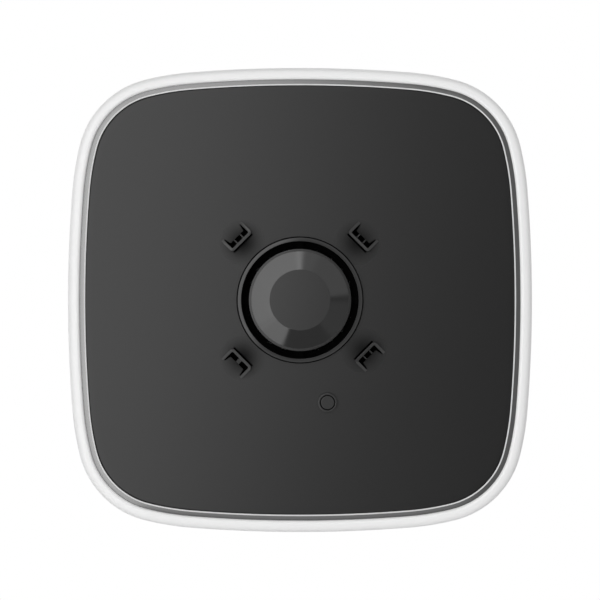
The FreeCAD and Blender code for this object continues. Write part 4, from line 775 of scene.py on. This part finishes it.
# Painted shade for the walls of the openings and the inside.
panel.data.materials.append(PAINTED_SHADE_BLACK)
panel.data.materials.append(GRAPHITE_FACE)
for face in panel.data.polygons:
    face.material_index = part_of_panel(face)
print("faces of bare ribs:", sum(face.material_index == BARE_RIB for face in panel.data.polygons))

# %% [markdown]
# ## The horn
#
# Sound leaves through the ring-shaped gap between the lip and the cone. The lip's top falls a
# little outwards and mirrors the lamps there. The cone is a hollow cap on four arms: flat on top,
# a straight flank, then a narrow flat rim. Both are glossier than the panel, so the cone's flank
# mirrors the lamps as wedges of light.

# %% Turn the horn's lip and its cone
LIP_BLACK, CONE_BLACK, ARM_LOW = 46.2, 46.0, 37.35
LIP_PROFILE = [
    (23.5, 35, 0), (27, 35, 0), (27, 41.1, 0), (30.5, 41.1, 0), (30.5, 42.8, 0), (26.85, 42.8, 0),
    (26.85, 46.8, 0.35), (25.25, 47.3, 0.12), (25.25, LIP_BLACK, 0), (25.1, 36.7, 0), (23.5, 36.7, 0)]
lip = add_piece("horn_lip", turned(softened(LIP_PROFILE)))
even_normals(finish(lip, GRAPHITE_GLOSS))
# Painted shade: the lip's faces deeper than its black level are near black.
paint_shade_under(lip, LIP_BLACK)
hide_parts("horn_ring")

CONE_PROFILE = [
    (0, 51, 0), (13, 51, 0.3), (20.9, 46.5, 0.15), (22, 46.5, 0.25), (22, ARM_LOW, 0),
    (20, ARM_LOW, 0), (20, 44.5, 0), (12, 49, 0), (0, 49, 0)]
cone = add_piece("horn_cone_cap", turned(softened(CONE_PROFILE), closed=False))
even_normals(finish(cone, GRAPHITE_GLOSS))
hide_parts("horn_cone")
print("faces of lip and cone:", len(lip.data.polygons), len(cone.data.polygons))

# %% [markdown]
# ## Deep in the horn
#
# Behind the ring-shaped gap lies a grille, and hardly any light gets there. A black with almost no gloss is
# painted shade, which keeps it as dark as the real one looks there. The grille's own CAD mesh is right as
# it is, so it stays and only gets this finish. The cone's foot and arms get the same painted shade.

# %% Painted shade on the grille and the foot of the cone
finish(frame["nodes"]["sound_grille"], PAINTED_SHADE_BLACK)
ARM_HALF, ARM_HIGH, ARM_START, ARM_END = 1.5, 39.35, 20.5, 24.9
arm = [(-ARM_HALF, ARM_START), (ARM_HALF, ARM_START), (ARM_HALF, ARM_END), (-ARM_HALF, ARM_END)]
quarter_turns = [Matrix.Rotation(math.pi / 2 * turn, 4, "Y") for turn in range(4)]
arms = add_piece("horn_cone_arms", placed(prism(arm, ARM_LOW, ARM_HIGH), quarter_turns))
finish(arms, PAINTED_SHADE_BLACK)
# Painted shade: the cone's faces deeper than its black level are near black.
paint_shade_under(cone, CONE_BLACK)
print("faces of the arms:", len(arms.data.polygons))

# %% [markdown]
# ## Metals
#
# Screws, springs and contacts need another group: fine streaks that vary the roughness, as
# rolling and plating leave them. The colour of a metal is its reflection, so the base colour
# carries the tint and Metallic is 1.

# %% A group for rolled and plated metal
STREAK_STRETCH, STREAK_SCALE, STREAK_DETAIL = (1.0, 30.0, 8.0), 900.0, 3.0
STREAK_DARK, STREAK_LIGHT = 0.86, 1.06
STREAK_BUMP, STREAK_DEPTH = 0.05, 0.01


def metal_streaks():
    """Colour, roughness and height of metal with fine streaks."""
    group, given, result = new_group(
        "metal_streaks",
        [("Color", "Color", None), ("Roughness", "Float", 0.3), ("Spread", "Float", 0.1)],
        [("Color", "Color"), ("Roughness", "Float"), ("Height", "Float")])
    nodes, links = group.nodes, group.links
    place = nodes.new("ShaderNodeTexCoord")
    stretch = nodes.new("ShaderNodeMapping")
    stretch.inputs["Scale"].default_value = STREAK_STRETCH
    streak = nodes.new("ShaderNodeTexNoise")
    streak.inputs["Scale"].default_value = STREAK_SCALE
    streak.inputs["Detail"].default_value = STREAK_DETAIL
    links.new(place.outputs["Object"], stretch.inputs["Vector"])
    links.new(stretch.outputs["Vector"], streak.inputs["Vector"])
    rough = nodes.new("ShaderNodeMath")
    rough.operation = "MULTIPLY_ADD"
    links.new(streak.outputs["Fac"], rough.inputs[0])
    links.new(given.outputs["Spread"], rough.inputs[1])
    links.new(given.outputs["Roughness"], rough.inputs[2])
    shade = nodes.new("ShaderNodeMapRange")
    shade.inputs["To Min"].default_value = STREAK_DARK
    shade.inputs["To Max"].default_value = STREAK_LIGHT
    links.new(streak.outputs["Fac"], shade.inputs["Value"])
    tint = nodes.new("ShaderNodeVectorMath")
    tint.operation = "SCALE"
    links.new(given.outputs["Color"], tint.inputs[0])
    links.new(shade.outputs["Result"], tint.inputs["Scale"])
    links.new(tint.outputs[0], result.inputs["Color"])
    links.new(rough.outputs[0], result.inputs["Roughness"])
    links.new(streak.outputs["Fac"], result.inputs["Height"])
    return group


STREAKS = metal_streaks()


def metal(name, colour, roughness, spread=0.12):
    """A material of rolled or plated metal."""
    material = bpy.data.materials.new(name)
    material.use_nodes = True
    nodes, links = material.node_tree.nodes, material.node_tree.links
    shader = nodes["Principled BSDF"]
    shader.inputs["Metallic"].default_value = 1.0
    streaks = nodes.new("ShaderNodeGroup")
    streaks.node_tree = STREAKS
    streaks.inputs["Color"].default_value = (*colour, 1.0)
    streaks.inputs["Roughness"].default_value = roughness
    streaks.inputs["Spread"].default_value = spread
    dent = nodes.new("ShaderNodeBump")
    dent.inputs["Strength"].default_value = STREAK_BUMP
    dent.inputs["Distance"].default_value = STREAK_DEPTH * mm
    links.new(streaks.outputs["Color"], shader.inputs["Base Color"])
    links.new(streaks.outputs["Roughness"], shader.inputs["Roughness"])
    links.new(streaks.outputs["Height"], dent.inputs["Height"])
    links.new(dent.outputs["Normal"], shader.inputs["Normal"])
    return material


print("group:", STREAKS.name, "with", len(STREAKS.nodes), "nodes")

# %% [markdown]
# ## A finish for every slot
#
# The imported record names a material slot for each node. One table gives each slot its finish,
# and a loop hands them out, so that nothing keeps the plain grey that it came with.

# %% Give each carried-over node the finish of its slot
FINISHES = {
    "white_housing": WHITE_HOUSING,
    "grey_plastic": moulded("pale_grey_plastic", grey(218), 0.5, bump=0.08),
    "light_guide": SMOKY_GUIDE,
    "dark_face": GRAPHITE_FACE,
    "dark_horn": GRAPHITE_GLOSS,
    "soft_seal": moulded("black_silicone", grey(34), 0.62, bump=0.15, scale=900.0),
    "black_plastic": moulded("black_plastic", grey(38), 0.45),
    "membrane": moulded("porous_film", grey(226), 0.8, bump=0.4, scale=5000.0),
    "button": moulded("button_gloss", grey(205), 0.22, bump=0.02),
    "circuit_board": moulded("solder_mask", (0.006, 0.05, 0.022), 0.28, bump=0.05, drift=0.2),
    "lamp": moulded("lamp_body", (0.86, 0.82, 0.55), 0.3, bump=0.02),
    "steel": metal("plated_steel", (0.60, 0.60, 0.58), 0.26),
    "brass": metal("dulled_brass", (0.16, 0.11, 0.05), 0.5),
    "copper": metal("enamelled_copper", (0.66, 0.30, 0.16), 0.22),
    "terminal": moulded("terminal_green", (0.012, 0.10, 0.035), 0.42),
    "capacitor": moulded("shrink_sleeve", (0.010, 0.012, 0.022), 0.25, bump=0.02),
    "battery": moulded("battery_sleeve", (0.035, 0.045, 0.065), 0.3, bump=0.02),
}
slot_of = {part["node"]: part["material_slot"] for part in frame["record"]["subparts"]}
for node, item in frame["nodes"].items():
    if node != "sound_grille":
        finish(item, FINISHES[slot_of[node]])
print("finishes:", len(FINISHES), "for", len(slot_of), "nodes")

# %% [markdown]
# ## The hidden sides
#
# The back shell, the bracket and the small pieces on them have the right shape already, but the
# CAD edges are knife sharp. `eased` copies such a node, joins its facets again where they are
# flat, and lets a Bevel modifier round what is still sharp. The copy then stands for the node.

# %% Ease the edges of a copy of a node
WELD_DISTANCE, FLAT_ANGLE = 1e-6, math.radians(0.6)
EASE_ANGLE, EASE_STEPS = math.radians(35), 2
HIDDEN_PIECES = [
    # node, name of its copy, body, width of the rounding in millimetres
    ("rear_housing", "rear_shell", "siren", 0.25),
    ("mounting_plate", "wall_bracket", "bracket", 0.25),
    ("battery_door", "battery_lid", "siren", 0.2),
    ("cable_grommet", "cable_plug", "siren", 0.3),
    ("power_button", "power_key", "power_button", 0.3),
    ("tamper_plunger", "tamper_pin", "tamper_plunger", 0.25),
]


def eased(node, name, body, width):
    """The node's own shape with its sharp edges rounded."""
    work = bmesh.new()
    work.from_mesh(frame["nodes"][node].data)
    bmesh.ops.remove_doubles(work, verts=work.verts, dist=WELD_DISTANCE)
    bmesh.ops.dissolve_limit(work, angle_limit=FLAT_ANGLE, verts=work.verts, edges=work.edges)
    piece = add_piece(name, work, body)
    bevel = piece.modifiers.new("eased_edges", "BEVEL")
    bevel.width, bevel.segments = width * mm, EASE_STEPS
    bevel.limit_method, bevel.angle_limit = "ANGLE", EASE_ANGLE
    bevel.miter_outer = "MITER_ARC"
    even_normals(piece)
    slot = slot_of[node]
    finish(piece, FINISHES[slot])
    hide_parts(node)
    return piece


for row in HIDDEN_PIECES:
    piece = eased(*row)
    print("faces of", piece.name, "are", len(piece.data.polygons))

# %% [markdown]
# ## Screws with a cross recess
#
# The four corner screws show at the back, and one screw shows from below. Each is turned with a
# low domed head, and a cross is cut into it with the Boolean tool from before. The CAD nodes'
# boxes say where the screws stand and how long the lower one is.

# %% Turn the screws
DOME, CROSS_REACH, CROSS_HALF = 0.45, 0.62, 0.13
SCREW_ARC_STEPS, SCREW_TURN_STEPS = 4, 40
CORNER_HEAD, CORNER_HEAD_HEIGHT, CORNER_SHANK, CORNER_LENGTH, CORNER_RECESS = 2.8, 2.0, 1.45, 22.0, 1.1
LOCK_HEAD, LOCK_HEAD_HEIGHT, LOCK_SHANK, LOCK_RECESS = 2.5, 3.0, 1.5, 1.2


def cross_screw(name, head, head_height, shank, length, recess):
    """A screw along the way out of the wall: its head behind 0, its shank in front of it."""
    piece = add_piece(name, turned(softened([
        (0, -head_height, 0), (head, -head_height, DOME * head_height), (head, 0, 0.1), (shank, 0, 0),
        (shank, length, 0.3), (0, length, 0)], SCREW_ARC_STEPS), steps=SCREW_TURN_STEPS, closed=False))
    arm, half = CROSS_REACH * head, CROSS_HALF * head
    for long, wide in ((arm, half), (half, arm)):
        bar = [(-long, -wide), (long, -wide), (long, wide), (-long, wide)]
        cut(piece, prism(bar, -head_height - SPARE, -head_height + recess))
    work = bmesh.new()
    work.from_mesh(piece.data)
    bpy.data.objects.remove(piece)
    return work


def screw_set(name, work, places, node):
    """Copies of a screw at each placement, as one piece that stands for a node."""
    piece = add_piece(name, placed(work, places))
    even_normals(finish(piece, FINISHES["steel"]))
    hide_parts(node)


low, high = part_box("corner_screws")
corner = high[0] / mm - CORNER_HEAD
seat = -high[1] / mm + CORNER_HEAD_HEIGHT
corner_work = cross_screw(
    "corner_screw", CORNER_HEAD, CORNER_HEAD_HEIGHT, CORNER_SHANK, CORNER_LENGTH, CORNER_RECESS)
corner_places = [Matrix.Translation(spot(x, y, seat)) for x in (-corner, corner) for y in (-corner, corner)]
screw_set("corner_cross_screws", corner_work, corner_places, "corner_screws")

low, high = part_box("lock_screw")
seat = Vector(((low[0] + high[0]) / 2, (low[1] + high[1]) / 2, low[2] + LOCK_HEAD_HEIGHT * mm))
lock_length = (high[2] - low[2]) / mm - LOCK_HEAD_HEIGHT
lock_work = cross_screw("lock_screw", LOCK_HEAD, LOCK_HEAD_HEIGHT, LOCK_SHANK, lock_length, LOCK_RECESS)
upright = Matrix.Translation(seat) @ Matrix.Rotation(-math.pi / 2, 4, "X")
screw_set("lock_cross_screw", lock_work, [upright], "lock_screw")
print("lock screw length in mm:", round(lock_length, 2))

# %% [markdown]
# ## Camera, studio and floor
#
# A catalogue picture is taken from straight ahead with a long lens, so that the square body
# stays square.

# %% The camera straight in front
FOCAL_LENGTH, SENSOR_WIDTH, CAMERA_DISTANCE = 189.2, 36.0, 1.4
camera_data = bpy.data.cameras.new("catalogue_camera")
camera_data.lens = FOCAL_LENGTH
camera_data.sensor_width = SENSOR_WIDTH
camera = bpy.data.objects.new("catalogue_camera", camera_data)
camera.location = (0, -CAMERA_DISTANCE, 0)
camera.rotation_euler = (math.pi / 2, 0, 0)
bpy.context.scene.collection.objects.link(camera)
bpy.context.scene.camera = camera
camera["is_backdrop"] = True
bpy.context.scene.view_settings.view_transform = "Standard"
print("camera at", tuple(round(value, 3) for value in camera.location))

# %% [markdown]
# ## The studio is a white tent
#
# A dark glossy face shows its surroundings more than its own colour, so the light is planned as
# a photographer would: a white tent all round, an opening round the camera that stays dim, and
# white cards in that opening. One large card hangs on the left. The world shader draws them by
# direction: how far a direction turns off the camera's axis, and at which hour round it. Both
# are in degrees, and the hours run anticlockwise from the right.

# %% Small tools for a shader made of numbers
class Sums:
    """Adds math nodes to a tree, so that a formula reads from left to right."""

    def __init__(self, tree):
        self.nodes, self.links = tree.nodes, tree.links

    def put(self, value, socket):
        """Set a number on a socket, or link another node's output to it."""
        if isinstance(value, (int, float)):
            socket.default_value = value
        else:
            self.links.new(value, socket)

    def math(self, operation, *values):
        """The output of a math node with these values."""
        node = self.nodes.new("ShaderNodeMath")
        node.operation = operation
        for number, value in enumerate(values):
            self.put(value, node.inputs[number])
        return node.outputs[0]

    def step(self, value, start, stop):
        """0 below start, 1 above stop, and smooth between; start may be the larger one."""
        node = self.nodes.new("ShaderNodeMapRange")
        node.interpolation_type = "SMOOTHSTEP"
        self.put(value, node.inputs["Value"])
        low, high, reverse = min(start, stop), max(start, stop), start > stop
        for socket, number in (("From Min", low), ("From Max", high), ("To Min", float(reverse)),
                               ("To Max", float(not reverse))):
            node.inputs[socket].default_value = number
        return node.outputs["Result"]


# %% [markdown]
# Each card is a patch of the dome: a span of hours round the axis and a span of angles off it,
# both with soft edges. Their strengths were found by setting a tone of the picture against the
# share of light that its surface sends back, about a twentieth for glossy plastic.

# %% The tent and its cards
CARDS = [
    # name, hour round the axis, half width, softness, from, to, softness off the axis, strength
    ("left card, far part", 151, 64, 10, 56, 62, 3, 3.25),
    ("left card, middle part", 160, 62, 24, 33, 50, 4, 1.55),
    ("left card, low part", 232, 17, 5, 56, 62, 3, 2.7),
    ("left card, near part", 168, 80, 14, -3, 28, 3, 1.71),
    ("left card, a stripe beside its near part", 180, 50, 20, 13, 22, 3, 0.5),
    ("low stripe", 272, 28, 20, 14, 22, 3, 0.45),
    ("high stripe", 62, 20, 20, 14, 22, 3, 0.35),
    ("ring of soft light", 0, 185, 4, 36, 52, 4, 0.93),
    ("right card", 50, 44, 8, 52, 64, 3, 0.75),
    ("right card, its upper end", 78, 12, 12, 52, 64, 3, 0.25),
    ("low right card", 334, 24, 10, 52, 64, 3, 0.25),
    ("edge of the opening", 0, 185, 4, 40, 64, 4, 0.10),
    ("right side of the tent", 0, 60, 20, 66, 100, 4, 0.50),
    ("foot of the tent", 270, 50, 20, 66, 100, 4, 0.95),
]
DIM_OPENING, TENT_SIDE, TENT_BACK = 0.07, 0.12, 0.5
OPENING_ANGLE, OPENING_SOFTNESS, BACK_START, BACK_END = 64, 4, 108, 136


def tent_light(sums, direction):
    """The strength of the tent in a direction, and how far that direction lies behind the siren."""
    parts = sums.nodes.new("ShaderNodeSeparateXYZ")
    sums.links.new(direction, parts.inputs[0])
    off_axis = sums.math("DEGREES", sums.math("ARCCOSINE", sums.math("MULTIPLY", parts.outputs["Y"], -1.0)))
    hour = sums.math("DEGREES", sums.math("ARCTAN2", parts.outputs["Z"], parts.outputs["X"]))
    beyond = sums.step(off_axis, OPENING_ANGLE, OPENING_ANGLE + OPENING_SOFTNESS)
    light = sums.math("MULTIPLY_ADD", beyond, TENT_SIDE - DIM_OPENING, DIM_OPENING)
    behind = sums.step(off_axis, BACK_START, BACK_END)
    light = sums.math("MULTIPLY_ADD", behind, TENT_BACK - TENT_SIDE, light)
    for _, middle, half, soft, near, far, edge, strength in CARDS:
        away = sums.math("ABSOLUTE", sums.math("WRAP", sums.math("SUBTRACT", hour, middle), 180.0, -180.0))
        beside = sums.step(away, half + soft / 2, half - soft / 2)
        inside = sums.math("MULTIPLY", sums.step(off_axis, near - edge / 2, near + edge / 2),
                           sums.step(off_axis, far + edge / 2, far - edge / 2))
        card = sums.math("MULTIPLY", beside, inside)
        light = sums.math("MULTIPLY_ADD", card, strength, light)
    return light, behind


def white_tent():
    """A world that lights the siren with the tent, and is plain white where the camera sees it."""
    world = bpy.data.worlds.new("white_tent")
    bpy.context.scene.world = world
    world.use_nodes = True
    tree = world.node_tree
    tree.nodes.clear()
    sums = Sums(tree)
    place = tree.nodes.new("ShaderNodeTexCoord")
    light, behind = tent_light(sums, place.outputs["Generated"])
    ray = tree.nodes.new("ShaderNodeLightPath")
    mirror = sums.math("MAXIMUM", ray.outputs["Is Glossy Ray"], ray.outputs["Is Transmission Ray"])
    seen = sums.math("MAXIMUM", ray.outputs["Is Camera Ray"], sums.math("MULTIPLY", mirror, behind))
    studio, white, mix = (tree.nodes.new(kind) for kind in (
        "ShaderNodeBackground", "ShaderNodeBackground", "ShaderNodeMixShader"))
    studio.inputs["Color"].default_value = white.inputs["Color"].default_value = (1, 1, 1, 1)
    tree.links.new(light, studio.inputs["Strength"])
    tree.links.new(seen, mix.inputs["Fac"])
    tree.links.new(studio.outputs[0], mix.inputs[1])
    tree.links.new(white.outputs[0], mix.inputs[2])
    result = tree.nodes.new("ShaderNodeOutputWorld")
    tree.links.new(mix.outputs[0], result.inputs["Surface"])
    return world


print("nodes in the tent:", len(white_tent().node_tree.nodes))

# %% [markdown]
# The floor lies below and behind the siren. It starts under it, so that the tent's light still
# reaches the face from below.

# %% A pale floor
FLOOR_SIDE, FLOOR_NEAR, FLOOR_FAR, FLOOR_LEVEL = 3, -0.05, 3.6, -0.5
floor_corners = [(-FLOOR_SIDE, FLOOR_NEAR, FLOOR_LEVEL), (FLOOR_SIDE, FLOOR_NEAR, FLOOR_LEVEL),
                 (FLOOR_SIDE, FLOOR_FAR, FLOOR_LEVEL), (-FLOOR_SIDE, FLOOR_FAR, FLOOR_LEVEL)]
floor_work = bmesh.new()
floor_work.faces.new([floor_work.verts.new(corner) for corner in floor_corners])
floor_mesh = bpy.data.meshes.new("studio_floor")
floor_work.to_mesh(floor_mesh)
floor_work.free()
studio_floor = bpy.data.objects.new("studio_floor", floor_mesh)
bpy.context.scene.collection.objects.link(studio_floor)
studio_floor.data.materials.append(moulded("floor_paint", grey(235), 0.6, bump=0.0))
studio_floor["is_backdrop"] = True
print("floor in metres across:", 2 * FLOOR_SIDE)

# %% [markdown]
# ## The boxes of both models
#
# The CAD model's box and the visual model's box are printed in millimetres.

# %% Print the boxes
visual_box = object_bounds()
boxes = {"cad": cad_box, "visual": visual_box}
plain = {name: [[float(number) for number in corner] for corner in box] for name, box in boxes.items()}
for name, box in plain.items():
    print(name, "box in mm:", [[round(number / mm, 2) for number in corner] for corner in box])
